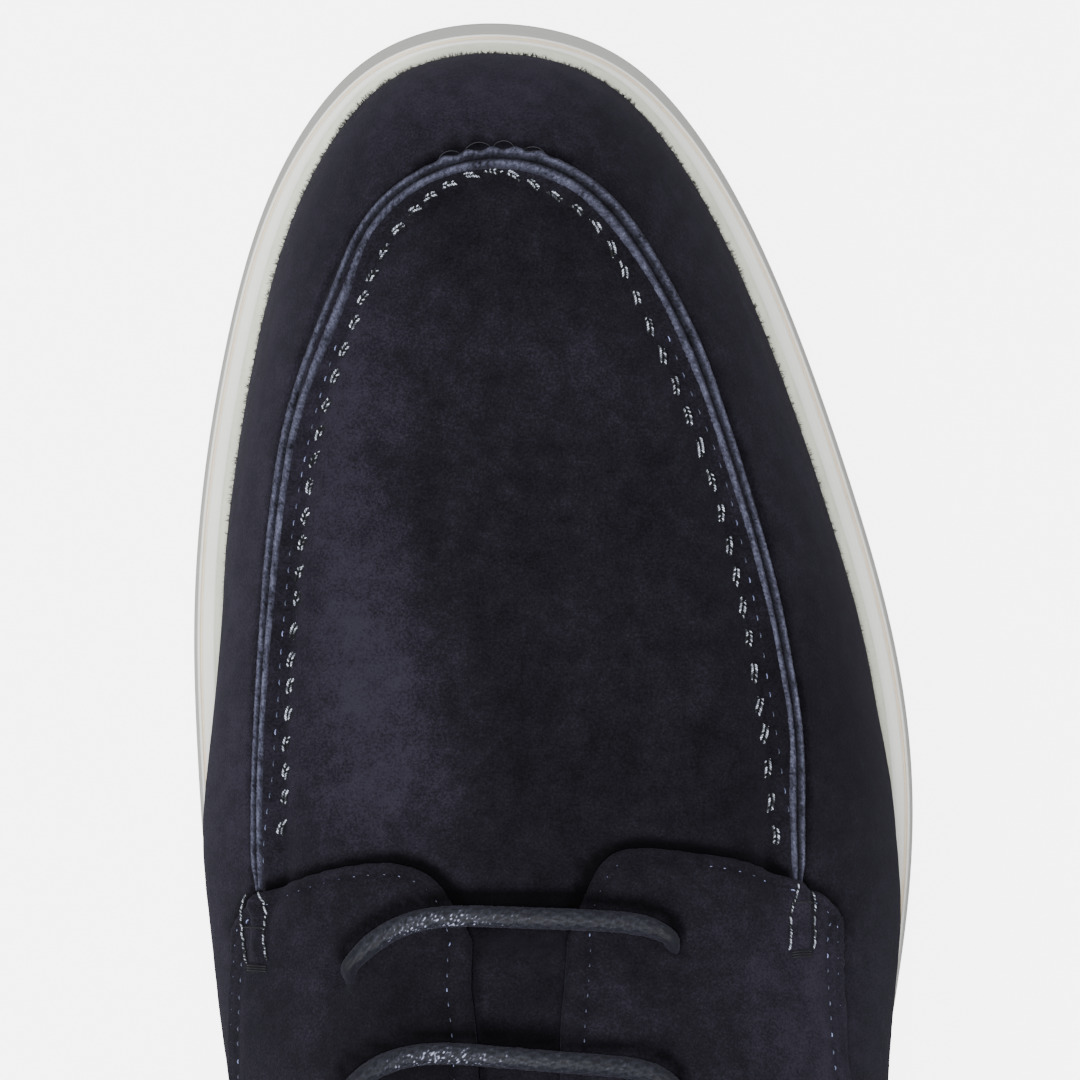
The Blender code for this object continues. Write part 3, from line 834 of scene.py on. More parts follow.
def tubes(form, centres, ups, radius, sides, shade):
    """Add round bars along many lines of centres (line, place, xyz), closed at both ends.
    The shade goes by line, place and side."""
    tangent = unit(np.gradient(centres, axis=1))
    across = unit(np.cross(tangent, ups))
    up = np.cross(across, tangent)
    angle = np.arange(sides) * 2 * math.pi / sides
    radius = np.broadcast_to(radius, centres.shape[:-1])[..., None, None]
    ring = np.cos(angle)[:, None] * across[:, :, None] + np.sin(angle)[:, None] * up[:, :, None]
    points = centres[:, :, None] + radius * ring
    shade = np.asarray(shade)
    if shade.ndim == 1:
        shade = shade[:, None, None]
    for line in form.add(points, shade):
        form.rod(line)


def nap_and_light_at(points):
    """Return how the nap is brushed at places on the upper, together with the painted light and
    shade laid over it.
    """
    total = np.zeros(points.shape[:-1])
    for across, station, across_reach, station_reach, strength in zip(*NAP_AND_LIGHT.values()):
        spread = ((points[..., 0] - across) / across_reach) ** 2
        spread = spread + ((points[..., 1] - station) / station_reach) ** 2
        total = total + strength * np.exp(-spread)
    return total


# ---------------------------------------------------------------- finishes


class Shader:
    """A material being wired together."""

    def __init__(self, name):
        self.made = bpy.data.materials.new(name)
        self.made.use_nodes = True
        self.tree = self.made.node_tree
        self.bsdf = self.tree.nodes["Principled BSDF"]
        self.place = self.node("ShaderNodeTexCoord").outputs["Object"]

    def node(self, kind, **settings):
        """Add a node."""
        node = self.tree.nodes.new(kind)
        for name, value in settings.items():
            setattr(node, name, value)
        return node

    def link(self, source, target):
        """Join an output to an input, or set a plain value."""
        if hasattr(source, "links"):
            self.tree.links.new(source, target)
        else:
            target.default_value = source

    def math(self, operation, a, b):
        """Return a sum of two values, each a socket or a number."""
        node = self.node("ShaderNodeMath", operation=operation)
        self.link(a, node.inputs[0])
        self.link(b, node.inputs[1])
        return node.outputs[0]

    def total(self, *parts):
        """Return the sum of weighted values, each given as (value, weight)."""
        values = [self.math("MULTIPLY", value, weight) for value, weight in parts]
        return functools.reduce(lambda a, b: self.math("ADD", a, b), values)

    def noise(self, size, detail=3.0, roughness=0.55, stretch=None):
        """Return noise with features of about the size, in millimetres."""
        node = self.node("ShaderNodeTexNoise")
        node.inputs["Scale"].default_value = 1 / (size * MM)
        node.inputs["Detail"].default_value = detail
        node.inputs["Roughness"].default_value = roughness
        place = self.place
        if stretch:
            mapping = self.node("ShaderNodeMapping")
            mapping.inputs["Scale"].default_value = stretch
            self.link(place, mapping.inputs["Vector"])
            place = mapping.outputs[0]
        self.link(place, node.inputs["Vector"])
        return node.outputs["Fac"]

    def attribute(self, name):
        """Return a value kept at the mesh's corners."""
        return self.node("ShaderNodeAttribute", attribute_name=name).outputs["Fac"]

    def ramp(self, value, stops):
        """Return a colour picked by a value from stops of (place, colour)."""
        node = self.node("ShaderNodeValToRGB")
        ramp = node.color_ramp
        while len(ramp.elements) < len(stops):
            ramp.elements.new(0.5)
        for element, (place, colour) in zip(ramp.elements, stops):
            element.position = place
            element.color = (*colour, 1.0)
        self.link(value, node.inputs["Fac"])
        return node.outputs["Color"]

    def times(self, colour, value):
        """Return a colour socket made lighter or darker by a value."""
        node = self.node("ShaderNodeVectorMath", operation="SCALE")
        self.link(colour, node.inputs[0])
        self.link(value, node.inputs["Scale"])
        return node.outputs[0]

    def bump(self, height, distance, strength):
        """Give the surface a fine relief, its height in millimetres."""
        node = self.node("ShaderNodeBump")
        node.inputs["Strength"].default_value = strength
        node.inputs["Distance"].default_value = distance * MM
        self.link(height, node.inputs["Height"])
        self.link(node.outputs[0], self.bsdf.inputs["Normal"])

    def finish(self, colour, roughness, specular, sheen=0.0, sheen_tint=(1, 1, 1)):
        """Set the surface and return the material."""
        self.link(colour, self.bsdf.inputs["Base Color"])
        self.link(roughness, self.bsdf.inputs["Roughness"])
        self.bsdf.inputs["Sheen Weight"].default_value = sheen
        self.bsdf.inputs["Sheen Roughness"].default_value = 0.55
        self.bsdf.inputs["Sheen Tint"].default_value = (*sheen_tint, 1.0)
        self.bsdf.inputs["Specular IOR Level"].default_value = specular
        return self.made


def kept(name, build):
    """Return a material by name, built the first time it is asked for."""
    return bpy.data.materials.get(name) or build(Shader(name))


def scaled(colour, factor):
    """Return a colour made lighter or darker by a factor."""
    return tuple(min(channel * factor, 1.0) for channel in colour)


def suede(colours):
    """Return napped navy suede."""
    def build(s):
        brushed = s.noise(26.0, 5.0, 0.6, (1.0, 0.55, 1.0))
        mottled = s.noise(4.0, 5.0, 0.66)
        nap = s.noise(0.36, 3.0, 0.75)
        # The nap attribute brings the nap's brushed tone together with the painted light and shade
        # laid over it
        value = s.total((s.attribute("nap"), 0.62), (brushed, 0.95), (mottled, 0.85), (nap, 1.45))
        colour = s.ramp(s.math("SUBTRACT", value, 1.12), (
            (0.10, colours.suede_dark),
            (0.50, colours.suede),
            (0.95, colours.suede_light)))
        s.bump(s.total((nap, 1.0), (mottled, 0.8)), 0.2, 0.8)
        # The shade attribute brings the painted shade and shadows of each piece
        return s.finish(s.times(colour, s.attribute("shade")), 0.95, 0.05, 0.05, colours.sheen)
    return kept("navy_suede", build)


def raw_suede(colours):
    """Return the cut edge of the suede, with its paler fibres."""
    def build(s):
        fibre = s.noise(0.28, 2.0, 0.7)
        clump = s.noise(1.1, 3.0, 0.6)
        value = s.total((fibre, 0.9), (clump, 0.5))
        colour = s.ramp(s.math("SUBTRACT", value, 0.2), (
            (0.18, colours.suede),
            (0.55, colours.raw_edge),
            (0.92, scaled(colours.raw_edge, 1.9))))
        s.bump(fibre, 0.15, 0.7)
        return s.finish(s.times(colour, s.attribute("shade")), 0.9, 0.1, 0.06, colours.sheen)
    return kept("raw_suede_edge", build)


def leather(colours):
    """Return the tan lining leather."""
    def build(s):
        grain = s.node("ShaderNodeTexVoronoi", feature="DISTANCE_TO_EDGE")
        grain.inputs["Scale"].default_value = 1 / (0.9 * MM)
        s.link(s.place, grain.inputs["Vector"])
        tone = s.total((s.noise(12.0, 4.0), 0.7), (s.noise(1.2, 2.0), 0.3))
        colour = s.ramp(tone, (
            (0.2, scaled(colours.lining, 0.72)),
            (0.55, colours.lining),
            (0.9, scaled(colours.lining, 1.2))))
        height = s.math("MINIMUM", s.math("MULTIPLY", grain.outputs["Distance"], 4.0), 1.0)
        s.bump(height, 0.06, 0.5)
        rough = s.math("ADD", 0.42, s.math("MULTIPLY", s.noise(3.0), 0.2))
        return s.finish(s.times(colour, s.attribute("shade")), rough, 0.45)
    return kept("tan_leather", build)


def rubber(name, tint, roughness, grain, specular=0.4):
    """Return a moulded rubber in one colour, with its faint marks."""
    def build(s):
        cloud = s.noise(9.0, 4.0, 0.6)
        speck = s.noise(0.5, 2.0, 0.6)
        colour = s.ramp(s.total((cloud, 0.65), (speck, 0.35)), (
            (0.25, scaled(tint, 1 - 1.2 * grain)),
            (0.55, tint),
            (0.85, scaled(tint, 1 + 0.5 * grain))))
        s.bump(s.total((speck, 1.0), (cloud, 0.5)), 0.05, 0.3 + grain)
        rough = s.math("ADD", roughness, s.math("MULTIPLY", s.noise(4.0), 0.12))
        return s.finish(s.times(colour, s.attribute("shade")), rough, specular)
    return kept(name, build)


def thread(name, tint, roughness, specular):
    """Return thread whose shade is kept at its corners, with fine fibre breaks."""
    def build(s):
        fibre = s.noise(0.22, 2.0, 0.6)
        tone = s.math("ADD", 0.72, s.math("MULTIPLY", fibre, 0.56))
        colour = s.times(s.times(tint, s.attribute("shade")), tone)
        s.bump(fibre, 0.06, 0.5)
        return s.finish(colour, roughness, specular, 0.02)
    return kept(name, build)


def glazed_thread(colours):
    """Return the glazed thread of the hand stitches and the bar tacks."""
    return thread("glazed_thread", colours.thread, 0.5, 0.12)


def blue_thread(colours):
    """Return the fine thread of the machine rows."""
    return thread("blue_thread", colours.fine_thread, 0.4, 0.5)


def lace_finish(colours):
    """Return the waxed lace: dark, with painted highlights, pale glints here and there on its
    crown.
    """
    def build(s):
        glint_and_grain = s.noise(0.30, 2.0, 0.7)
        value = s.math("MULTIPLY", s.attribute("shade"), s.math("ADD", 0.5, glint_and_grain))
        # The upper stops paint the glints, up to 17 times as light as the lace
        stops = ((0.18, 0.5), (0.40, 1.0), (0.60, 2.0), (0.95, 17.0))
        colour = s.ramp(value, [(place, scaled(colours.lace, light)) for place, light in stops])
        s.bump(glint_and_grain, 0.08, 0.6)
        rough = s.math("SUBTRACT", 0.75, s.math("MULTIPLY", glint_and_grain, 0.4))
        return s.finish(colour, rough, 0.10, 0.05, colours.sheen)
    return kept("waxed_lace", build)


def floor_finish(colour, glow):
    """Return the plain pale floor, which looks evenly lit but throws little light back."""
    def build(s):
        tone = s.math("ADD", 0.985, s.math("MULTIPLY", s.noise(90.0), 0.03))
        seen = s.node("ShaderNodeLightPath").outputs["Is Camera Ray"]
        s.bsdf.inputs["Emission Color"].default_value = (1.0, 1.0, 1.0, 1.0)
        s.link(s.math("MULTIPLY", seen, glow), s.bsdf.inputs["Emission Strength"])
        return s.finish(s.times(colour, tone), 0.9, 0.1)
    return kept("pale_floor", build)


# ---------------------------------------------------------------- sole and insole


def fill_ring(form, ring_points, ring, steps, height, flip):
    """Close a ring that runs from heel to toe and back with a grid across it."""
    half = len(ring) // 2
    inner = np.linspace(0, 1, steps + 1)[1:-1]
    number = np.full((half - 1, steps + 1), -1)
    for k in range(1, half):
        number[k - 1, 0] = ring[half - k]
        number[k - 1, -1] = ring[half + k]
    left = ring_points[half - 1:0:-1]
    right = ring_points[half + 1:]
    points = left[:, None] * (1 - inner[:, None]) + right[:, None] * inner[:, None]
    points[..., 2] = height(points)
    number[:, 1:-1] = form.add(points)
    form.skin_over(number, flip=flip)
    for tip, row, turned in ((ring[half], number[0], not flip), (ring[0], number[-1], flip)):
        for a, b in zip(row[:-1], row[1:]):
            form.face((tip, a, b) if turned else (tip, b, a))


def ring_turns(half):
    """Return turns once round the shoe, starting at the heel."""
    return np.arange(2 * half) / half - 1


def flare(station):
    """Return how far the sole's wall leans out, most at the toe."""
    s = np.maximum(0.0, 1 - station / TOE_FLARE_END)
    return SIDE_FLARE + (TOE_FLARE - SIDE_FLARE) * s * s


def tread_height(points):
    """Return the tread with its shallow cross grooves."""
    station = points[..., 1]
    wave = np.sin(2 * math.pi * (station + 2.5 * np.sin(points[..., 0] * 0.12)) / TREAD_PITCH)
    return TREAD(station) + TREAD_GROOVE * smooth(wave, 0.55, 0.85)


def build_sole(shoe):
    """Build the rubber unit with its bead, groove, rim and rough gutter."""
    turns = ring_turns(shoe.sizes.round_steps)
    edge = outline(turns)
    station = edge[:, 1]
    out = outward(turns)
    rings = []
    for inset, lean, share, drop, finish in zip(*SOLE_SIDE.values()):
        room = SOLE_ROOM * (1 - inset / RIM_WIDTH)
        plan = edge - out * (inset - room + lean * flare(station))[:, None]
        height = TREAD(station) * (1 - share) + RIM(station) * share - drop
        ring = with_height(plan, height)
        if finish == 2:
            ring = ring + 0.09 * np.stack((ripple(ring, 0.7, 5), ripple(ring, 0.7, 6),
                                           ripple(ring, 0.9, 7)), -1)
        rings.append(ring)
    rings = np.array(rings)
    form = Form()
    # Painted shade: the wall is drawn darker than the rim's top
    rim = smooth(SOLE_SIDE["inset"], 0.02, 0.12) * smooth(SOLE_SIDE["share"], 0.6, 1.0)
    number = form.add(rings, 0.76 + 0.15 * rim[:, None])
    finishes = np.repeat(SOLE_SIDE["finish"][1:, None].astype(int), len(turns), 1)
    form.skin_over(number, around=True, flip=True, finish=finishes)
    fill_ring(form, rings[0], number[0], 12, tread_height, False)
    fill_ring(form, rings[-1], number[-1], 6, lambda p: RIM(p[..., 1]) - SEAT_DEPTH, True)
    finishes = [rubber("white_rubber", shoe.colours.rubber, 0.5, 0.05),
                rubber("groove_rubber", shoe.colours.groove, 0.6, 0.12),
                rubber("gutter_rubber", shoe.colours.gutter, 0.85, 0.16, 0.2)]
    form.make("sole_unit", finishes, ["sole"], "rubber_white")


def build_footbed(shoe):
    """Build the leather insole, dished at its edge."""
    turns = ring_turns(shoe.sizes.round_steps // 2)
    edge = outline(turns)
    out = outward(turns)
    inset = FEATHER_INSET + WALL + 1.5 * GAP
    rings = []
    for shrink, lift in ((0.0, 0.0), (0.0, 2.2), (0.15, 2.65), (0.5, 2.9), (1.0, 3.0),
                         (2.5, FOOTBED_THICK)):
        rings.append(with_height(edge - out * (inset + shrink),
                                 RIM(edge[:, 1]) - SEAT_DEPTH + GAP + lift))
    rings = np.array(rings)
    form = Form()
    number = form.add(rings)
    form.skin_over(number, around=True, flip=True)

    def top(points):
        """Return the footbed's face, hollowed most under the heel."""
        middle = np.minimum(np.abs(points[..., 0] + 0.6) / 24.0, 1.0)
        heel = smooth(points[..., 1], 190.0, 250.0)
        hollow = (1 - middle ** 2) * (0.35 + 0.5 * heel)
        return RIM(points[..., 1]) - SEAT_DEPTH + GAP + FOOTBED_THICK - hollow

    fill_ring(form, rings[0], number[0], 8, lambda p: RIM(p[..., 1]) - SEAT_DEPTH + GAP, False)
    fill_ring(form, rings[-1], number[-1], 24, top, True)
    form.make("footbed", [leather(shoe.colours)], ["insole"], "leather_tan")


# ---------------------------------------------------------------- upper


def slot_u(turn):
    """Return the u of the shell's edge beside the throat and along the collar."""
    share = np.abs(turn)
    station = station_of(share)
    lip = FACING_LIP * (1 - smooth(station, 196.0, FACING_TOP))
    reach = THROAT_REACH(crest_station(share)) + lip
    toe = smooth(share, 0.0, 0.4)
    edge = u_at_reach(turn, reach * toe + 1.8 * (1 - toe))
    collar = u_at_height(turn, TOP_HEIGHT(station))
    return np.where(station > FACING_TOP, np.minimum(edge, collar), edge)


def shell_levels(turns, edge):
    """Return the u of every row of the shell, closest together along the raised seam."""
    seam = np.minimum(seam_u(turns), 0.62 * edge)
    by_u = np.linalg.norm(skin_steps(turns, seam)[1], axis=-1)
    outer = np.maximum(seam - 4.5 / by_u, 0.4 * seam)
    inner = np.minimum(seam + 8.4 / by_u, seam + 0.86 * (edge - seam))
    foot = np.linspace(0, 1, 22)[:-1] ** 1.15
    band = np.linspace(0, 1, 34)[:-1]
    plug = np.linspace(0, 1, 21)
    rows = [foot[:, None] * outer, outer + band[:, None] * (inner - outer),
            inner + plug[:, None] * (edge - inner)]
    return np.concatenate(rows).T


def join_loops(form, fine, coarse, flip):
    """Join a closed fine loop to a coarse one, several fine steps to each coarse one."""
    stride = len(fine) // len(coarse)
    for i, start in enumerate(coarse):
        end = coarse[(i + 1) % len(coarse)]
        run = [fine[(i * stride + k) % len(fine)] for k in range(stride + 1)]
        corners = [start] + run + [end]
        form.face(corners[::-1] if flip else corners)


STRIDE = 3                  # the lining has one row and column to three of the suede
THROAT_MIDDLE = 5.7         # across, at the throat's front end
THROAT_SHADE = 13.0         # half width of the painted shadow between the lobes


def build_upper(shoe):
    """Build the lasted shell: suede outside, tan lining inside, open at throat and collar."""
    fore, rear = shoe.sizes.fore_columns * STRIDE, shoe.sizes.rear_columns * STRIDE
    extra = 3 * STRIDE          # rows from the throat's level up to the crest line
    front = float(share_of(THROAT_FRONT))
    shares = np.concatenate((np.linspace(0, front, fore + 1), np.linspace(front, 1, rear + 1)[1:]))
    half = len(shares) - 1
    turns = np.concatenate((-shares[:0:-1], shares[:-1]))
    edge = slot_u(turns)
    levels = shell_levels(turns, edge)
    columns = np.arange(half - fore, half + fore + 1)
    rise = np.linspace(0, 1, extra + 1)[1:]
    crest_levels = edge[columns, None] + rise * (1 - edge[columns, None])

    def grids(lift, form, step, shade_of):
        """Add the shell at a lift, every so many rows and columns, and return its numbers."""
        body_u = levels[::step, ::step]
        body_turn = np.repeat(turns[::step, None], body_u.shape[1], 1)
        body = surface(body_turn, body_u, lift)
        number = form.add(body, *shade_of(body, body_turn, body_u))
        top_columns = columns[::step]
        top_turn = np.repeat(turns[top_columns, None], extra, 1)[:, step - 1::step]
        top_u = crest_levels[::step, step - 1::step]
        top = surface(top_turn, top_u, lift)
        middle = len(top) // 2
        crest = (top[middle:, -1] + top[middle::-1, -1]) / 2
        crest_number = form.add(crest, *shade_of(crest, top_turn[middle:, -1], top_u[middle:, -1]))
        top_number = form.add(top[:, :-1], *shade_of(top[:, :-1], top_turn[:, :-1], top_u[:, :-1]))
        where = np.abs(np.arange(len(top)) - middle)
        rows = np.concatenate((number[top_columns // step, -1:], top_number,
                               crest_number[where][:, None]), 1)
        return number, rows

    lobes = np.concatenate([skin(*lobe_front(side, np.linspace(0, LOBE_SPAN, 80)))[:, :2]
                            for side in (1, -1)])

    def outer_shade(points, turn, u):
        """Return the shade and nap of the suede. The shade is painted: painted shade in the valley
        of the hand stitches, at the foot of the raised seam and between its gathers, and painted
        shadow round the lobes and in the throat."""
        inwards, along = seam_place(points, turn, u)
        legs = 1 - smooth(points[..., 1], 127.0, 134.0)
        # Painted shade in the valley, deeper on the medial side, where the raised seam's shadow
        # falls
        valley = smooth(inwards, 1.6, 2.6) * (1 - smooth(inwards, 5.6, 7.2))
        valley = valley * (0.12 + 0.12 * smooth(points[..., 0], 0.0, 20.0))
        # Painted shadow at the seam's outer foot, and painted shade between the gathers at its
        # apex
        foot = bell(inwards + 0.3, 0.7)
        gather_shade = 0.40 * (1 - pucker(along)) * (np.abs(along) < PUCKER_REACH)
        foot = 0.5 * foot + gather_shade * bell(inwards + 1.3, 0.9)
        shade = 1 - legs * np.clip(valley + foot, 0, 1)
        # Painted shadow on the vamp just in front of the lobes
        near = (points[..., 1] > 112.0) & (points[..., 1] < LOBE_END)
        away = np.linalg.norm(points[near][:, None, :2] - lobes[None], axis=-1).min(-1)
        shade[near] = shade[near] * (0.10 + 0.90 * smooth(away, 1.4, 2.8))
        # Painted shadow across the throat, in front of the first lace
        throat = smooth(points[..., 1], 126.9, 127.7) * (points[..., 1] < 140.0)
        between = np.abs(points[..., 0] - THROAT_MIDDLE) < THROAT_SHADE
        shade = shade * (1 - 0.8 * throat * between)
        return shade, nap_and_light_at(points)

    form = Form()
    number, rows = grids(0.0, form, 1, outer_shade)
    lining, lining_rows = grids(-WALL, form, STRIDE, lambda points, turn, u: (1.0, 0.0))
    form.skin_over(number, along=True)
    form.skin_over(rows)
    form.skin_over(lining, along=True, flip=True, finish=1)
    form.skin_over(lining_rows, flip=True, finish=1)
    join_loops(form, number[:, 0], lining[:, 0], True)

    def top_edge(body, top, step):
        """Return the loop of the upper edge: round the collar, then across the throat."""
        start, end = (half + fore) // step, (half - fore) // step
        collar = [body[k % len(body), -1] for k in range(start, len(body) + end + 1)]
        return collar[:-1] + list(top[0]) + list(top[-1][-2:0:-1])

    join_loops(form, top_edge(number, rows, 1), top_edge(lining, lining_rows, STRIDE), False)
    form.make("upper_suede", [suede(shoe.colours), leather(shoe.colours)], ["upper"], "suede_navy")


def seam_frames():
    """Return evenly spaced frames along the raised seam: points, inwards, up and along."""
    along = np.linspace(0, SEAM_ALONG[-1], int(SEAM_ALONG[-1] / RIDGE_STEP))
    turn = np.interp(along, SEAM_ALONG, SEAM_TURN)
    u = np.interp(along, SEAM_ALONG, SEAM_U)
    points = skin(turn, u)
    up = skin_normal(turn, u)
    inwards = unit(np.cross(unit(np.gradient(points, axis=0)), up))
    return points, inwards, up, along - SEAM_APEX


def build_ridge(shoe):
    """Build the raised seam: two fibrous lips, gathered round the toe."""
    random = np.random.default_rng(11)
    points, _, up, along = seam_frames()
    up = unit(up + np.array((0.0, 0.0, 1.0)))
    inwards = unit(np.cross(unit(np.gradient(points, axis=0)), up))
    end = np.minimum(along - along[0], along[-1] - along)[:, None]
    profile = {name: column[None, :] for name, column in RIDGE_PROFILE.items()}
    narrow = spline(RIDGE_WANDER["along"], RIDGE_WANDER["spread"])(along)[:, None]
    narrow = narrow * (0.55 + 0.45 * smooth(end, -0.5, 5.0))
    shift = spline(RIDGE_WANDER["along"], RIDGE_WANDER["shift"])(along)[:, None]
    inner = profile["across"] > RIDGE_GROOVE
    medial = smooth(-along, 30.0, 60.0)[:, None]
    slimmer = 1 - 0.2 * medial * inner
    a = (profile["across"] - RIDGE_PIVOT) * narrow * slimmer + RIDGE_PIVOT + shift
    lower = 0.70 + 0.30 * smooth(end, 0.0, 5.0)
    h = profile["height"] * lower * shoe.sizes.ridge_height / MM / RIDGE_DRAWN
    outer = (1 - smooth(profile["across"], 0.2, 1.4)) * smooth(profile["height"], 0.0, 1.0)
    a = a - 0.5 * pucker(along)[:, None] * outer
    free = smooth(profile["height"], 0.6, 1.6)
    a = a + free * random.normal(0, 0.035, a.shape)
    h = h + free * (random.normal(0, 0.05, h.shape) + 0.6 * medial * inner)
    ring = points[:, None] + a[..., None] * inwards[:, None] + h[..., None] * up[:, None]
    ring = ring + (0.10 * free * ripple(ring, 6.0, 12))[..., None] * up[:, None]
    wisp = ripple(ring, 0.45, 14) * 0.5 + ripple(ring, 2.2, 13) * 0.5
    paler = 0.82 + 0.18 * smooth(np.abs(along), 35.0, 75.0)[:, None]
    # Painted light and shade from the profile, with the fibres' random tone; a little darker round
    # the apex
    shade = paler * profile["shade"] * (0.9 + 0.5 * wisp + random.normal(0, 0.22, a.shape))
    form = Form()
    form.rod(form.add(ring, np.clip(shade, 0.04, 1.8)), flip=True)
    form.make("apron_ridge", [raw_suede(shoe.colours)], ["apron_seam"], "suede_navy")


# ---------------------------------------------------------------- facings and tongue


def rolled(to_edge):
    """Return how far a rounded edge has fallen, from 0 inside it to 1 at the very edge."""
    roll = np.clip(to_edge / EDGE_ROLL, 0, 1)
    return 1 - np.sqrt(1 - (1 - roll) ** 2)


def edge_steps(length, pitch):
    """Return places from 0 to 1 along a length, closest together near both ends."""
    near = np.array((0.0, 0.10, 0.25, 0.45, 0.75, 1.15, 1.7, 2.3, 3.0))
    count = max(2, int((length - 2 * near[-1]) / pitch))
    middle = np.linspace(near[-1], length - near[-1], count)
    return np.concatenate((near, middle[1:-1], length - near[::-1])) / length


def side_name(side):
    """Return the name of a side, medial for 1 and lateral for -1."""
    return "medial" if side > 0 else "lateral"


def lobe_front(side, q):
    """Return the turn and u of a facing's front edge, q from the throat to the hem."""
    label = side_name(side)
    places = np.arange(LOBE_SPAN + 1.0)
    plan = np.stack((spline(places, LOBE[label + "_across"])(q),
                     spline(places, LOBE[label + "_station"])(q)), -1)
    return settle(plan, side * share_of(plan[:, 1]), 0.7, 40, FACING_WALL)


@functools.cache
def facing_grid(side, pitch, count):
    """Return the turns and u of a facing, rows from its lobe to the heel."""
    q = edge_steps(FACING_WIDTH, pitch) * LOBE_SPAN
    front_turn, front_u = lobe_front(side, q)
    shares = np.linspace(float(share_of(LOBE_END)), 1 - HEEL_SEAM, count)
    corner = share_of(FACING_TOP)
    shares[np.argmin(np.abs(shares - corner))] = corner
    station = station_of(shares)
    turn = side * shares
    hem = u_at_height(turn, HEM_HEIGHT(turn, station))
    throat = u_at_reach(turn, THROAT_REACH(station))
    inner = np.where(station > FACING_TOP + 0.01, slot_u(turn), throat)
    straight_turn = np.repeat(turn[:, None], len(q), 1)
    straight_u = inner[:, None] + (hem - inner)[:, None] * q / LOBE_SPAN
    near = np.array((0.0, 0.008, 0.02, 0.04, 0.065, 0.10, 0.145, 0.20))
    blend = np.concatenate((near, np.linspace(0.27, 0.93, 12)))[:, None]
    turns = front_turn * (1 - blend) + straight_turn[0] * blend
    us = front_u * (1 - blend) + straight_u[0] * blend
    return np.concatenate((turns, straight_turn)), np.concatenate((us, straight_u))


def inset_path(turn, u, inset, sign):
    """Return a path on the last that runs beside another, at a distance to one side."""
    points = skin(turn, u)
    normal = skin_normal(turn, u)
    tangent = unit(np.gradient(points, axis=0))
    side = unit(np.cross(normal, tangent)) * sign
    return settle(points + side * np.asarray(inset)[..., None], turn, u)


def even_path(turn, u, step):
    """Return a path again, at even steps."""
    along = lengths(skin(turn, u))
    places = np.arange(0.0, along[-1], step)
    return np.interp(places, along, turn), np.interp(places, along, u)


@functools.cache
def facing_edge(side):
    """Return the path of a facing's edge: collar and throat, lobe, then hem to the heel."""
    turns, us = facing_grid(side, FACING_PITCH, FACING_ROWS)
    turn = np.concatenate((turns[:0:-1, 0], turns[0], turns[1:, -1]))
    u = np.concatenate((us[:0:-1, 0], us[0], us[1:, -1]))
    return even_path(turn, u, 0.8)


def tack_place(side, outwards, behind):
    """Return the turns and u of places on a facing, outwards from the middle of the raised
    seam and behind its end."""
    across = TACKS[side]["across"] + side * outwards
    plan = np.stack(np.broadcast_arrays(across, TACKS[side]["start"] + behind), -1)
    return settle(plan, side * 0.46, 0.5, 30, FACING_WALL)


def lace_shadow(points, reach):
    """Return the shade that the lace bars throw on what lies under them, towards the toe."""
    plan = np.array((1.0, 1.0, 0.0))
    shade = np.ones(points.shape[:-1])
    for row in zip(*LACES.values()):
        path = lace_path(*row)[0] * plan - np.array((0.0, 1.0 + reach, 0.0))
        distance, _ = nearest(tree_of(path), points * plan)
        shade = shade * (1 - 0.92 * bell(distance, reach))
    return shade


def facing_heights(side, base, edge_points, rows):
    """Return the height of a facing's outer face over its inner one, and how far each place
    is from the facing's edge."""
    to_edge, _ = nearest(tree_of(edge_points), base)
    height = FACING_WALL - 0.75 * rolled(to_edge)
    height = height + 0.18 * bell(to_edge - 1.4, 0.9)
    for row in rows:
        distance, _ = nearest(tree_of(row), base)
        height = height - 0.30 * bell(distance, 0.75)
    behind = np.linspace(0.0, TACK_LENGTH, 40)
    distance, number = nearest(tree_of(surface(*tack_place(side, 0.0, behind), 0.0)), base)
    fade = 1 - smooth(behind[number], 8.0, TACK_LENGTH)
    height = height + TAIL_HEIGHT * fade * np.exp(-(distance / TAIL_WIDTH) ** 4)
    height = height - 0.30 * fade * bell(distance - 2.0, 0.6)
    for station in LACES[side_name(side)]:
        away = np.linalg.norm(base - eyelet_place(side, station), axis=-1)
        height = height - 1.5 * (1 - smooth(away, 1.0, 2.3))
        height = height + 0.10 * bell(away - 3.2, 1.0)
    return height, to_edge


def eyelet_place(side, station):
    """Return the point of the last under an eyelet."""
    across = CREST_ACROSS(station) + EYELET_SHIFT + EYELET_REACH * side
    plan = np.array((float(across), station))
    return skin(*settle(plan, side * share_of(station), 0.75, 30, FACING_WALL))


@functools.cache
def stitch_rows(side):
    """Return a facing's machine-stitched rows as paths of turn and u: one all round its edge
    and a second one behind its lobe, along the hem."""
    turn, u = facing_edge(side)
    station = skin(turn, u)[:, 1]
    inset = 1.75 + 1.55 * smooth(station, 129.0, 137.0)
    whole = even_path(*inset_path(turn, u, inset, side), 0.4)
    hem = (np.arange(len(turn)) > len(turn) * 0.5) & (station > 132.0)
    second = even_path(*inset_path(turn[hem], u[hem], 1.4, side), 0.4)
    return [whole, second]


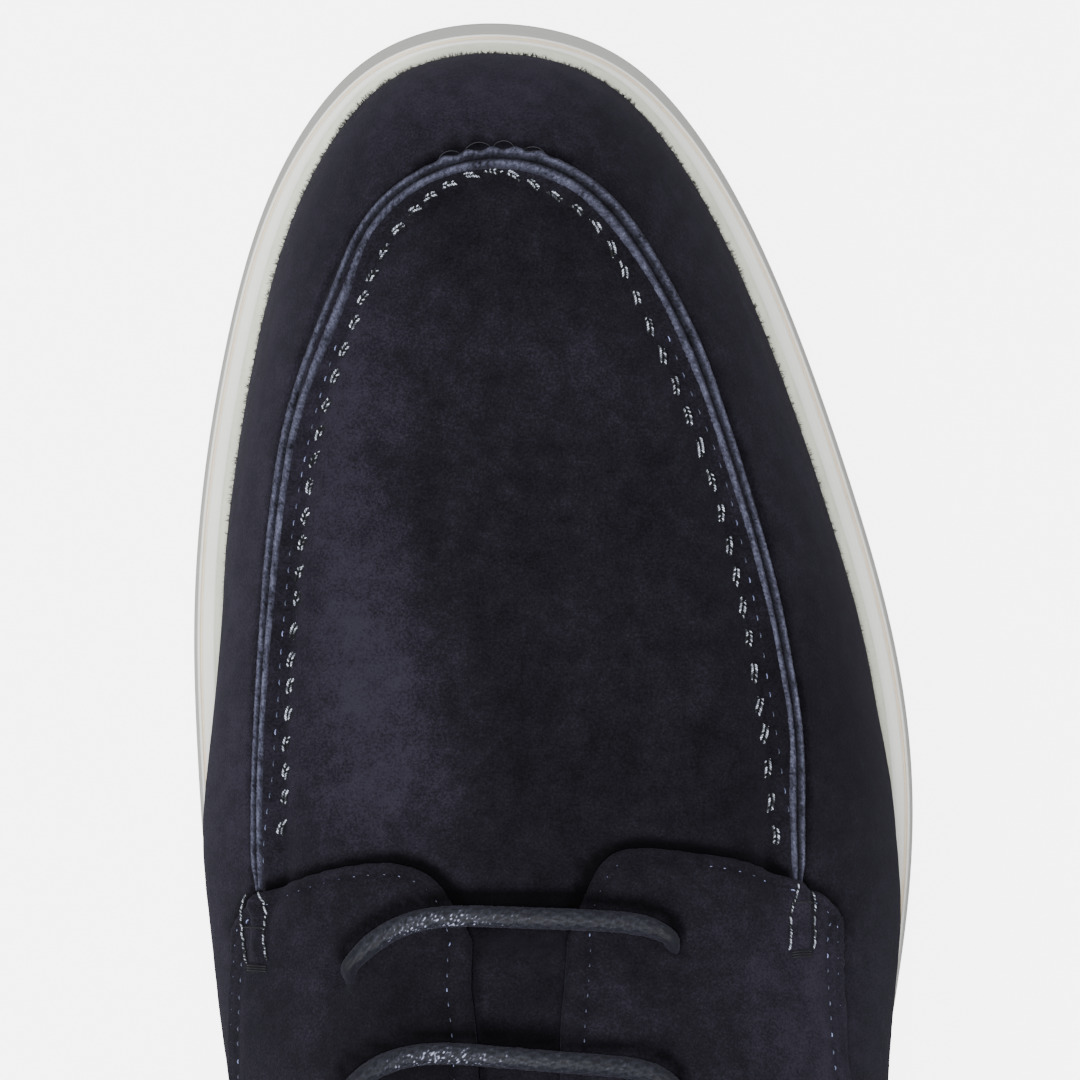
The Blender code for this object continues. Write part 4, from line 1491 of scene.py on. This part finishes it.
def build_facing(side, name, node, shoe):
    """Build one side's facing with its rounded cut edges, sunk stitch rows and eyelets."""
    turn, u = facing_grid(side, shoe.sizes.facing_pitch, shoe.sizes.facing_rows)
    base = surface(turn, u, 0.0)
    normal = skin_normal(turn, u)
    edge_turn, edge_u = facing_edge(side)
    edge_points = surface(edge_turn, edge_u, 0.0)
    rows = [surface(row_turn, row_u, 0.0) for row_turn, row_u in stitch_rows(side)]
    height, to_edge = facing_heights(side, base, edge_points, rows)
    height = height + 0.06 * ripple(base, 9.0, 21 + side) * smooth(to_edge, 0.0, 3.0)
    outer = base + (height + 0.15)[..., None] * normal
    inner = base + 0.12 * normal
    # Painted shade along the rolled cut edge and in the sunk stitch rows, with the painted shadow
    # of the laces
    shade = (1 - 0.35 * bell(to_edge, 0.5)) * lace_shadow(base, 1.0)
    for row in rows:
        distance, _ = nearest(tree_of(row), base)
        shade = shade * (1 - 0.30 * bell(distance, 0.6))
    form = Form()
    top = form.add(outer, shade, nap_and_light_at(base))
    form.slab(top, form.add(inner, 0.8, nap_and_light_at(base)), side < 0)
    form.make(name, [suede(shoe.colours)], [node], "suede_navy")


def build_tongue(shoe):
    """Build the tongue under the throat, suede outside and leather inside."""
    first, last = TONGUE_HALF_WIDTH["station"][[0, -1]]
    station = first + (last - first) * edge_steps(last - first, 1.1)
    reach = np.linspace(-1, 1, 61)
    reach = np.sign(reach) * (1 - (1 - np.abs(reach)) ** 1.25)
    turn = np.sign(reach + 1e-9)[None, :] * share_of(station)[:, None]
    width = np.abs(reach)[None, :] * TONGUE_REACH(station)[:, None]
    u = np.where(width > 0.01, u_at_reach(turn, width), 1.0)
    base = skin(turn, u)
    normal = skin_normal(turn, u)
    slot = THROAT_REACH(station)[:, None]
    raised = (1 - smooth(width, slot - 0.4, slot + 1.1)) * smooth(station, 132.5, 136.5)[:, None]
    lift = -WALL - GAP - 2 * SAG + 2.2 * raised
    to_edge = np.minimum((TONGUE_REACH(station)[:, None] - width), (last - station)[:, None])
    fall = rolled(to_edge)
    top = lift - 0.7 * fall + 0.05 * ripple(base, 8.0, 31)
    low = lift - TONGUE_WALL + 0.5 * fall
    form = Form()
    upper = form.add(base + top[..., None] * normal, lace_shadow(base, 1.8), nap_and_light_at(base) - 0.1)
    form.slab(upper, form.add(base + low[..., None] * normal), False, finish=1)
    finishes = [suede(shoe.colours), leather(shoe.colours)]
    form.make("tongue_suede", finishes, ["tongue"], "suede_navy")


# ---------------------------------------------------------------- laces


def lace_path(peak, medial, lateral, skew):
    """Return the middle line of a lace bar, diving into its eyelets at both ends, and the
    directions out of the shoe along it."""
    s = np.sin(np.linspace(-0.5, 0.5, 70) * math.pi)
    bend = np.where(s > 0, (medial - peak + 0.8 * skew) * np.abs(s) ** 3.6,
                    (lateral - peak - 1.2 * skew) * np.abs(s) ** 8)
    station = peak + skew * (0.2 - s) + bend
    across = CREST_ACROSS(station) + EYELET_SHIFT + EYELET_REACH * s
    plan = np.stack((across, station), -1)
    turn, u = settle(plan, np.sign(s) * share_of(station), 0.8, 30, FACING_WALL + LACE_LIFT)
    dive = smooth(np.abs(s), 0.94, 1.0) ** 1.5
    return surface(turn, u, FACING_WALL + LACE_LIFT - LACE_DIVE * dive), skin_normal(turn, u)


def build_laces(shoe):
    """Build the waxed lace bars with the relief of their braid."""
    width, thick = shoe.sizes.lace_width / MM, shoe.sizes.lace_height / MM
    angle = np.arange(LACE_SIDES) * 2 * math.pi / LACE_SIDES
    random = np.random.default_rng(61)
    for number, row in enumerate(zip(*LACES.values()), 1):
        points, up = lace_path(*row)
        along = lengths(points)
        places = np.linspace(0, along[-1], int(along[-1] / 0.25))
        centre = sample(along, points, places)
        up = unit(sample(along, up, places))
        tangent = unit(np.gradient(centre, axis=0))
        across = unit(np.cross(tangent, up))
        up = np.cross(across, tangent)
        end = np.minimum(places, places[-1] - places)
        slim = 0.62 + 0.38 * smooth(end, 1.0, 9.0)
        strand = BRAID_STRANDS * angle[None, :]
        wound = 2 * math.pi * places[:, None] / BRAID_PITCH
        braid = np.maximum(np.sin(strand + wound), np.sin(strand - wound))
        grow = 1 + 0.045 * braid + 0.02 * np.cos(5 * angle)[None, :]
        grow = grow + random.normal(0, 0.02, grow.shape)
        round_off = np.sign(np.cos(angle)) * np.abs(np.cos(angle)) ** 0.85
        a = width / 2 * round_off[None, :] * slim[:, None] * grow
        h = thick / 2 * np.sin(angle)[None, :] * (0.8 + 0.2 * slim[:, None]) * grow
        ring = centre[:, None] + a[..., None] * across[:, None] + h[..., None] * up[:, None]
        # Painted highlights: sparse pale glints, most at one place along the bar and on the side
        # that faces the key light
        glint_and_grain = random.uniform(0, 1, grow.shape) ** 5
        fibre = random.normal(0, 0.075, grow.shape)
        share = places[:, None] / places[-1]
        painted_glint = bell(share - LACE_GLINT_PLACE, LACE_GLINT_REACH) + LACE_GLINT_BASE
        lit_side = smooth(np.sin(angle - 0.8), 0.35, 0.95)[None, :]
        painted_glint = painted_glint * lit_side * smooth(end, 2.0, 9.0)[:, None]
        # Painted shade: darker in the braid's hollows than on its crests, and darker towards both
        # ends, where the bar sinks into its eyelets
        shade = 0.24 + 0.12 * braid + fibre + painted_glint * glint_and_grain
        shade = np.maximum(shade, 0.05) * (0.55 + 0.45 * smooth(end, 1.0, 10.0))[:, None]
        form = Form()
        form.rod(form.add(ring, shade))
        nodes = [f"lace_bar_{number}"]
        form.make(f"lace_{number}", [lace_finish(shoe.colours)], nodes, "lace_navy")


# ---------------------------------------------------------------- threads and hairs

PLY_SIDES = 6
THREAD_DARK = 0.012         # shade of a thread where it does not glint
GLINT = 1.7                 # shade of the brightest painted glint on a hand stitch
TACK_GLINT = 1.5

# Hand stitches: side, pitch beside the medial one, length, and first place from the toe
HAND_STITCHES = ((1, 1.0, 2.25, 3.2), (-1, 1.16, 2.9, 0.0))
TOE_REACH = 40.0            # along the seam, where the hand stitches reach their full length
TOE_STITCH = 2.1            # length and pitch of the hand stitches round the toe
TOE_PITCH = 3.3

# Machine stitches of the facings' rows
ROW_PITCH = 2.35
ROW_STITCH = 0.62
ROW_RADIUS = 0.10
ROW_FAINT = (0.10, 0.35)    # least shade in the row along the edge and in the second one


def twisted(form, start, end, up, sag, radius, pitch, glint, random, steps=21, hand=1):
    """Add three-ply twisted stitches between pairs of points, dipping in by sag at both ends.
    Painted glints lie here and there on the upper crowns of the plies. The hand is 1 or -1, the
    way they twist."""
    s = np.linspace(0, 1, steps)
    arch = np.sin(math.pi * s) ** 0.6
    middle = start[:, None] * (1 - s[:, None]) + end[:, None] * s[:, None]
    middle = middle + (sag * (arch - 1))[None, :, None] * up[:, None]
    tangent = unit(end - start)[:, None]
    across = hand * unit(np.cross(tangent, up[:, None]))
    length = np.linalg.norm(end - start, axis=1)
    crown = smooth(np.sin(np.arange(PLY_SIDES) * 2 * math.pi / PLY_SIDES), 0.4, 1.0)
    for ply in range(3):
        angle = 2 * math.pi * (s[None, :] * length[:, None] / pitch + ply / 3)
        offset = np.cos(angle)[..., None] * across + np.sin(angle)[..., None] * up[:, None]
        centre = middle + 0.52 * radius * offset
        turn = np.floor(angle / (2 * math.pi) + 0.25).astype(int) + 1
        chance = random.uniform(-0.35, 1.2, (len(start), turn.max() + 1))
        chance = np.clip(chance, 0, 1)[np.arange(len(start))[:, None], turn]
        # Painted glints on the crowns that face up, on some turns of each ply
        bright = smooth(np.sin(angle), 0.58, 0.95) * glint * chance
        bright = bright * random.uniform(0.4, 1.2, bright.shape)
        tubes(form, centre, up[:, None] * np.ones((1, steps, 1)), radius * 0.42, PLY_SIDES,
              THREAD_DARK + bright[..., None] * crown)


def path_frames(turn, u, lift):
    """Return points, directions along and outward directions on the dressed upper."""
    points = surface(turn, u, lift)
    return points, unit(np.gradient(points, axis=0)), skin_normal(turn, u)


def sample(along, values, places):
    """Return vectors kept along a line, at other places along it."""
    return np.stack([np.interp(places, along, values[:, k]) for k in range(3)], -1)


@functools.cache
def stitch_path():
    """Return the line of the hand stitches as turns and u."""
    return plan_curve(STITCH_LINE, 260)


def build_hand_stitches(shoe):
    """Build the thick twisted stitches inside the raised seam."""
    random = np.random.default_rng(51)
    turn, u = stitch_path()
    points, tangent, up = path_frames(turn, u, 0.0)
    along = lengths(points)
    apex = np.interp(0.0, -turn, along)
    form = Form()
    for side, stretch, length, first in HAND_STITCHES:
        pitch = stretch * shoe.sizes.stitch_pitch / MM
        reach = apex if side > 0 else along[-1] - apex
        places = [first]
        while places[-1] < reach - 1.5 * pitch:
            grown = float(smooth(places[-1], 0.0, TOE_REACH))
            places.append(places[-1] + TOE_PITCH + (pitch - TOE_PITCH) * grown)
        places = np.array(places)
        where = apex - side * places + random.normal(0, 0.08, len(places))
        grown = smooth(places, 0.0, TOE_REACH)
        long = (TOE_STITCH + (length - TOE_STITCH) * grown)[:, None]
        centre = sample(along, points, where)
        ahead = unit(sample(along, tangent, where))
        upward = unit(sample(along, up, where))
        slant = np.radians(random.normal(-14.0, 4.0, len(places)))[:, None]
        direction = ahead * np.cos(slant) + np.cross(upward, ahead) * np.sin(slant)
        beside = np.cross(upward, direction)
        apart = 0.24 + 0.11 * grown[:, None]
        for strand in (-1, 1):
            shift = random.uniform(-0.4, 0.4, len(places))[:, None] * direction
            middle = centre + beside * apart * strand + upward * 0.22 + shift
            twisted(form, middle - direction * long / 2, middle + direction * long / 2, upward,
                    0.45, 0.30, 1.0, GLINT, random, 25, strand)
    add_loops(form)
    form.make("hand_stitches", [glazed_thread(shoe.colours)], [], "lace_navy")


def add_loops(form):
    """Add the loose loops of thread that stand out ahead of the seam's gathers."""
    points, inwards, up, along = seam_frames()
    share = np.linspace(0, 1, 15)
    bow = np.sin(math.pi * share)[:, None] ** 0.7
    for first, last in THREAD_LOOPS:
        where = first + share * (last - first)
        upward = sample(along, up, where)
        centre = sample(along, points, where) + (0.5 + 1.0 * bow) * upward
        centre = centre + (0.55 - 0.62 * bow) * sample(along, inwards, where)
        tubes(form, centre[None], upward[None], 0.05, 5, 0.06)


def dashes(form, points, up, pitch, length, radius, faint, random):
    """Add a row of short machine stitches along a line of points, each with a painted glint
    of random strength."""
    along = lengths(points)
    where = np.arange(pitch / 2, along[-1] - pitch / 2, pitch)
    where = where + random.normal(0, 0.04 * pitch, len(where))
    steps = np.linspace(-0.5, 0.5, 7)
    places = where[:, None] + steps * length
    centre = sample(along, points, places)
    upward = unit(sample(along, up, places))
    dip = 0.2 * (1 - np.cos(math.pi * steps) ** 0.7)
    glint = faint + (1 - faint) * random.uniform(0, 1, len(where)) ** 3
    tubes(form, centre - dip[None, :, None] * upward, upward, radius, PLY_SIDES, glint)


def build_fine_row(shoe):
    """Build the fine row of stitches between the raised seam and the hand stitches."""
    random = np.random.default_rng(52)
    turn, u = inset_path(*stitch_path(), 2.0, 1.0)
    points, _, up = path_frames(turn, u, 0.05)
    form = Form()
    for side, pitch in ((1, 2.4), (-1, 2.9)):
        half = (points[:, 1] > 46.0) & (side * turn > 0)
        dashes(form, points[half], up[half], pitch, 0.9, 0.09, 0.12, random)
    form.make("fine_seam_row", [blue_thread(shoe.colours)], [], "lace_navy")


def build_facing_stitches(shoe):
    """Build the machine rows and the bar tacks of both facings."""
    random = np.random.default_rng(53)
    rows, tacks = Form(), Form()
    for side in (1, -1):
        for faint, (turn, u) in zip(ROW_FAINT, stitch_rows(side)):
            points, _, up = path_frames(turn, u, FACING_WALL - 0.04)
            dashes(rows, points, up, ROW_PITCH, ROW_STITCH, ROW_RADIUS, faint, random)
        for rail in TACKS[side]["rails"]:
            behind, outwards = np.array(rail).T
            steps = np.arange(behind[0], behind[-1], 0.25)
            turn, u = tack_place(side, spline(behind, outwards)(steps), steps)
            points, _, up = path_frames(turn, u, FACING_WALL + 0.30)
            along = lengths(points)
            where = np.arange(0.1, along[-1] - 1.6, 1.75)
            twisted(tacks, sample(along, points, where), sample(along, points, where + 1.7),
                    unit(sample(along, up, where)), 0.3, 0.25, 0.75, TACK_GLINT, random)
        last_bars = [(TACKS[side]["end"] + step, -1.5, 1.3) for step in (0.0, 0.35, 0.7)]
        for behind, low, high in (TACKS[side]["bar"], *last_bars):
            outwards = np.linspace(low, high, 9)
            points, _, up = path_frames(*tack_place(side, outwards, behind), FACING_WALL + 0.12)
            raised = TAIL_HEIGHT * np.exp(-(outwards / TAIL_WIDTH) ** 4)
            points = points + raised[:, None] * up
            tubes(tacks, points[None], up[None], 0.13, PLY_SIDES, 0.02)
    rows.make("facing_stitches", [blue_thread(shoe.colours)], [], "lace_navy")
    tacks.make("bar_tacks", [glazed_thread(shoe.colours)], [], "lace_navy")


def hairs(form, roots, directions, length, radius, seed, shade):
    """Add short tapered hairs at roots."""
    random = np.random.default_rng(seed)
    count = len(roots)
    size = length * random.uniform(0.4, 1.3, count)[:, None]
    bend = random.normal(0, 0.45, (count, 3))
    direction = unit(directions + random.normal(0, 0.45, (count, 3)))
    middle = roots + direction * size * 0.55
    tip = middle + unit(direction + bend) * size * 0.55
    centres = np.stack((roots - direction * 0.15, middle, tip), 1)
    up = np.broadcast_to(unit(random.normal(size=(count, 3)))[:, None], centres.shape)
    shades = shade * random.uniform(0.6, 1.3, count)
    tubes(form, centres, up, np.array((1.0, 0.75, 0.12)) * radius, 3, shades)


def build_hairs(shoe):
    """Build the loose fibres along the cut edges of the suede."""
    random = np.random.default_rng(41)
    form = Form()
    turn = random.uniform(-1, 1, shoe.sizes.edge_hairs)
    u = u_at_height(turn, RIM(station_of(np.abs(turn))) + random.uniform(-0.5, 0.5, len(turn)))
    roots = surface(turn, np.maximum(u, 0.004), 0.0)
    out = with_height(outward(turn), random.uniform(-0.2, 0.5, len(turn)))
    tuft = 0.8 + 0.8 * ripple(roots, 5.0, 44)[:, None]
    hairs(form, roots, unit(out), 0.36 + 0.28 * np.clip(tuft, 0, 1.4), 0.045, 42, 0.6)
    for side in (1, -1):
        edge_turn, edge_u = facing_edge(side)
        along = lengths(skin(edge_turn, edge_u))
        places = random.uniform(0, along[-1], shoe.sizes.edge_hairs // 5)
        turn, u = np.interp(places, along, edge_turn), np.interp(places, along, edge_u)
        lift = random.uniform(0.4, 1.5, len(turn))
        roots = surface(turn, u, lift)
        hairs(form, roots, unit(skin_normal(turn, u) + random.normal(0, 0.6, roots.shape)), 0.3,
              0.03, 43 + side, 1.0)
    form.make("suede_hairs", [suede(shoe.colours)], [], "suede_navy")


# ---------------------------------------------------------------- stage

FLOOR_DROP = -0.0003        # metres, so that the floor does not touch the tread
LIGHT_AIM = np.array((0.0, -0.06, 0.04))


def build_stage(stage):
    """Build the floor, the lights and the camera."""
    scene = bpy.context.scene
    mesh = bpy.data.meshes.new("floor")
    reach = stage.floor_reach
    corners = [(x * reach, y * reach, FLOOR_DROP) for x, y in ((-1, -1), (1, -1), (1, 1), (-1, 1))]
    mesh.from_pydata(corners, [], [(0, 1, 2, 3)])
    mesh.materials.append(floor_finish(stage.floor, stage.glow))
    floor = bpy.data.objects.new("floor", mesh)
    scene.collection.objects.link(floor)

    studio = bpy.data.worlds.new("studio")
    scene.world = studio
    studio.use_nodes = True
    background = studio.node_tree.nodes["Background"]
    background.inputs["Color"].default_value = (1.0, 1.0, 1.0, 1.0)
    seen = studio.node_tree.nodes.new("ShaderNodeLightPath")
    strength = studio.node_tree.nodes.new("ShaderNodeMath")
    strength.operation = "MULTIPLY_ADD"
    strength.inputs[1].default_value = 1.07 * stage.glow
    strength.inputs[2].default_value = stage.fill
    studio.node_tree.links.new(seen.outputs["Is Camera Ray"], strength.inputs[0])
    studio.node_tree.links.new(strength.outputs["Value"], background.inputs["Strength"])

    for name, place, power, size in (("key", (0.9, 1.25, 2.5), stage.key, 0.75),
                                     ("overhead", (0.05, -0.1, 2.9), stage.overhead, 0.8)):
        light = bpy.data.lights.new(name, "AREA")
        light.energy = power
        light.size = size
        lamp = bpy.data.objects.new(name, light)
        lamp.location = place
        aim = LIGHT_AIM - np.array(place)
        lamp.rotation_euler = (math.acos(-aim[2] / np.linalg.norm(aim)), 0.0,
                               math.atan2(aim[1], aim[0]) - math.pi / 2)
        scene.collection.objects.link(lamp)

    camera = bpy.data.cameras.new("camera")
    camera.lens = stage.lens
    camera.sensor_width = 36.0
    eye = bpy.data.objects.new("camera", camera)
    eye.location = (stage.eye_across, stage.eye_along, stage.eye_height)
    eye.rotation_euler = (0.0, 0.0, math.pi)
    scene.collection.objects.link(eye)
    scene.camera = eye


# ---------------------------------------------------------------- add-on


def tint(name, description, default):
    """Return a colour setting."""
    return bpy.props.FloatVectorProperty(name=name, description=description, default=default,
                                         subtype="COLOR", size=3, min=0.0, max=1.0)


def measure(name, description, default):
    """Return a length setting, in metres."""
    return bpy.props.FloatProperty(name=name, description=description, default=default,
                                   unit="LENGTH", precision=4)


def level(name, description, default, **limits):
    """Return a plain number setting."""
    return bpy.props.FloatProperty(name=name, description=description, default=default, **limits)


def whole(name, description, default, least):
    """Return a whole number setting."""
    return bpy.props.IntProperty(name=name, description=description, default=default, min=least)


class ShoeColours(bpy.types.PropertyGroup):
    """Colours of the shoe's finishes."""
    # The light and dark ends of the suede also carry its painted light and shade
    suede: tint("Suede", "Nap of the suede, between its light and dark places",
                (0.0074, 0.0067, 0.0100))
    suede_dark: tint("Suede, dark", "Nap brushed away from the eye", (0.0028, 0.0026, 0.0037))
    suede_light: tint("Suede, light", "Nap brushed towards the eye", (0.0192, 0.0172, 0.0268))
    sheen: tint("Sheen", "Soft light on the tips of the nap", (0.56, 0.53, 0.75))
    raw_edge: tint("Raw edge", "Fibres of the cut suede edges", (0.048, 0.050, 0.077))
    rubber: tint("Rubber", "Sole, rim and bead", (0.75, 0.75, 0.71))
    groove: tint("Groove", "Narrow groove beside the bead", (0.70, 0.60, 0.46))
    # The gutter is partly the olive tone of the glue line, partly painted shade in the corner
    # against the suede
    gutter: tint("Gutter", "Rough strip where sole and suede meet", (0.64, 0.65, 0.55))
    lining: tint("Lining", "Leather inside the shoe", (0.42, 0.25, 0.13))
    # The thread's colour is that of its painted glints; where it does not glint, the shade makes
    # it near black
    thread: tint("Thread", "Glints of the hand stitches", (0.48, 0.51, 0.61))
    fine_thread: tint("Fine thread", "Machine stitches", (0.20, 0.23, 0.42))
    lace: tint("Lace", "Waxed lace", (0.0155, 0.0163, 0.0225))


class ShoeSizes(bpy.types.PropertyGroup):
    """Sizes of the details."""
    ridge_height: measure("Ridge height", "Height of the raised seam", 0.0022)
    stitch_pitch: measure("Stitch pitch", "Middle to middle of the hand stitches", 0.0042)
    lace_width: measure("Lace width", "Width of the lace lying flat", 0.0030)
    lace_height: measure("Lace height", "Thickness of the lace", 0.0027)
    round_steps: whole("Sole steps", "Steps along each side of the sole", 300, 60)
    fore_columns: whole("Forepart columns", "Groups of three columns from toe to throat", 84, 20)
    rear_columns: whole("Rear columns", "Groups of three columns from throat to heel", 40, 10)
    facing_pitch: level("Facing pitch", "Column spacing of the facings in millimetres",
                        FACING_PITCH, min=0.3)
    facing_rows: whole("Facing rows", "Rows of a facing behind its lobe", FACING_ROWS, 40)
    edge_hairs: whole("Edge hairs", "Loose fibres along the sole", 4200, 0)


class ShoeStage(bpy.types.PropertyGroup):
    """Floor, light and camera."""
    floor: tint("Floor", "Plain pale floor", (0.35, 0.35, 0.35))
    floor_reach: measure("Floor reach", "Half the floor's width", 3.0)
    glow: level("Glow", "How evenly white the floor looks", 5.4, min=0.0)
    fill: level("Fill", "Light from all round", 0.47, min=0.0)
    key: level("Key", "Soft light from over the heel", 80.0, unit="POWER")
    overhead: level("Overhead", "Soft light from straight above", 122.0, unit="POWER")
    lens: level("Lens", "Focal length", 285.6, unit="CAMERA")
    eye_across: measure("Eye across", "Camera's place across the shoe", 0.00195)
    eye_along: measure("Eye along", "Camera's place along the shoe", -0.07375)
    eye_height: measure("Eye height", "Camera's height over the floor", 1.3)


class ShoeSettings(bpy.types.PropertyGroup):
    """All settings of the shoe."""
    colours: bpy.props.PointerProperty(type=ShoeColours)
    sizes: bpy.props.PointerProperty(type=ShoeSizes)
    stage: bpy.props.PointerProperty(type=ShoeStage)


class SHOE_OT_sole(bpy.types.Operator):
    """Make the rubber sole unit"""
    bl_idname = "shoe.sole"
    bl_label = "Sole unit"

    def execute(self, context):
        build_sole(context.scene.derby_shoe)
        return {"FINISHED"}


class SHOE_OT_footbed(bpy.types.Operator):
    """Make the leather insole"""
    bl_idname = "shoe.footbed"
    bl_label = "Footbed"

    def execute(self, context):
        build_footbed(context.scene.derby_shoe)
        return {"FINISHED"}


class SHOE_OT_upper(bpy.types.Operator):
    """Make the lasted suede shell with its lining"""
    bl_idname = "shoe.upper"
    bl_label = "Upper"

    def execute(self, context):
        build_upper(context.scene.derby_shoe)
        return {"FINISHED"}


class SHOE_OT_ridge(bpy.types.Operator):
    """Make the raised seam round the apron"""
    bl_idname = "shoe.ridge"
    bl_label = "Apron ridge"

    def execute(self, context):
        build_ridge(context.scene.derby_shoe)
        return {"FINISHED"}


class SHOE_OT_facings(bpy.types.Operator):
    """Make both facings with their lobes, hems and eyelets"""
    bl_idname = "shoe.facings"
    bl_label = "Facings"

    def execute(self, context):
        shoe = context.scene.derby_shoe
        build_facing(1, "facing_medial", "quarter_medial", shoe)
        build_facing(-1, "facing_lateral", "quarter_lateral", shoe)
        return {"FINISHED"}


class SHOE_OT_tongue(bpy.types.Operator):
    """Make the tongue"""
    bl_idname = "shoe.tongue"
    bl_label = "Tongue"

    def execute(self, context):
        build_tongue(context.scene.derby_shoe)
        return {"FINISHED"}


class SHOE_OT_laces(bpy.types.Operator):
    """Make the four bars of the lace"""
    bl_idname = "shoe.laces"
    bl_label = "Laces"

    def execute(self, context):
        build_laces(context.scene.derby_shoe)
        return {"FINISHED"}


class SHOE_OT_stitches(bpy.types.Operator):
    """Make the hand stitches, the machine rows and the bar tacks"""
    bl_idname = "shoe.stitches"
    bl_label = "Stitches"

    def execute(self, context):
        shoe = context.scene.derby_shoe
        build_hand_stitches(shoe)
        build_fine_row(shoe)
        build_facing_stitches(shoe)
        return {"FINISHED"}


class SHOE_OT_hairs(bpy.types.Operator):
    """Make the loose fibres of the cut suede edges"""
    bl_idname = "shoe.hairs"
    bl_label = "Suede hairs"

    def execute(self, context):
        build_hairs(context.scene.derby_shoe)
        return {"FINISHED"}


class SHOE_OT_stage(bpy.types.Operator):
    """Make the floor, the lights and the camera"""
    bl_idname = "shoe.stage"
    bl_label = "Stage"

    def execute(self, context):
        build_stage(context.scene.derby_shoe.stage)
        return {"FINISHED"}


STEPS = (SHOE_OT_sole, SHOE_OT_footbed, SHOE_OT_upper, SHOE_OT_ridge, SHOE_OT_facings,
         SHOE_OT_tongue, SHOE_OT_laces, SHOE_OT_stitches, SHOE_OT_hairs, SHOE_OT_stage)


class SHOE_PT_panel(bpy.types.Panel):
    """Lists the steps that dress the shoe"""
    bl_label = "Derby shoe"
    bl_idname = "SHOE_PT_panel"
    bl_space_type = "VIEW_3D"
    bl_region_type = "UI"
    bl_category = "Derby shoe"

    def draw(self, context):
        for step in STEPS:
            self.layout.operator(step.bl_idname)
        shoe = context.scene.derby_shoe
        for group in (shoe.colours, shoe.sizes, shoe.stage):
            box = self.layout.box()
            for name in group.bl_rna.properties.keys():
                if name not in ("rna_type", "name"):
                    box.prop(group, name)


CLASSES = (ShoeColours, ShoeSizes, ShoeStage, ShoeSettings, *STEPS, SHOE_PT_panel)


def register():
    """Register the add-on's classes and settings."""
    for made in CLASSES:
        bpy.utils.register_class(made)
    bpy.types.Scene.derby_shoe = bpy.props.PointerProperty(type=ShoeSettings)


def unregister():
    """Remove them again."""
    del bpy.types.Scene.derby_shoe
    for made in reversed(CLASSES):
        bpy.utils.unregister_class(made)


def main():
    """Dress the shoe."""
    register()
    bpy.ops.shoe.sole()
    bpy.ops.shoe.footbed()
    bpy.ops.shoe.upper()
    bpy.ops.shoe.ridge()
    bpy.ops.shoe.facings()
    bpy.ops.shoe.tongue()
    bpy.ops.shoe.laces()
    bpy.ops.shoe.stitches()
    bpy.ops.shoe.hairs()
    bpy.ops.shoe.stage()


if __name__ == "__main__":
    main()
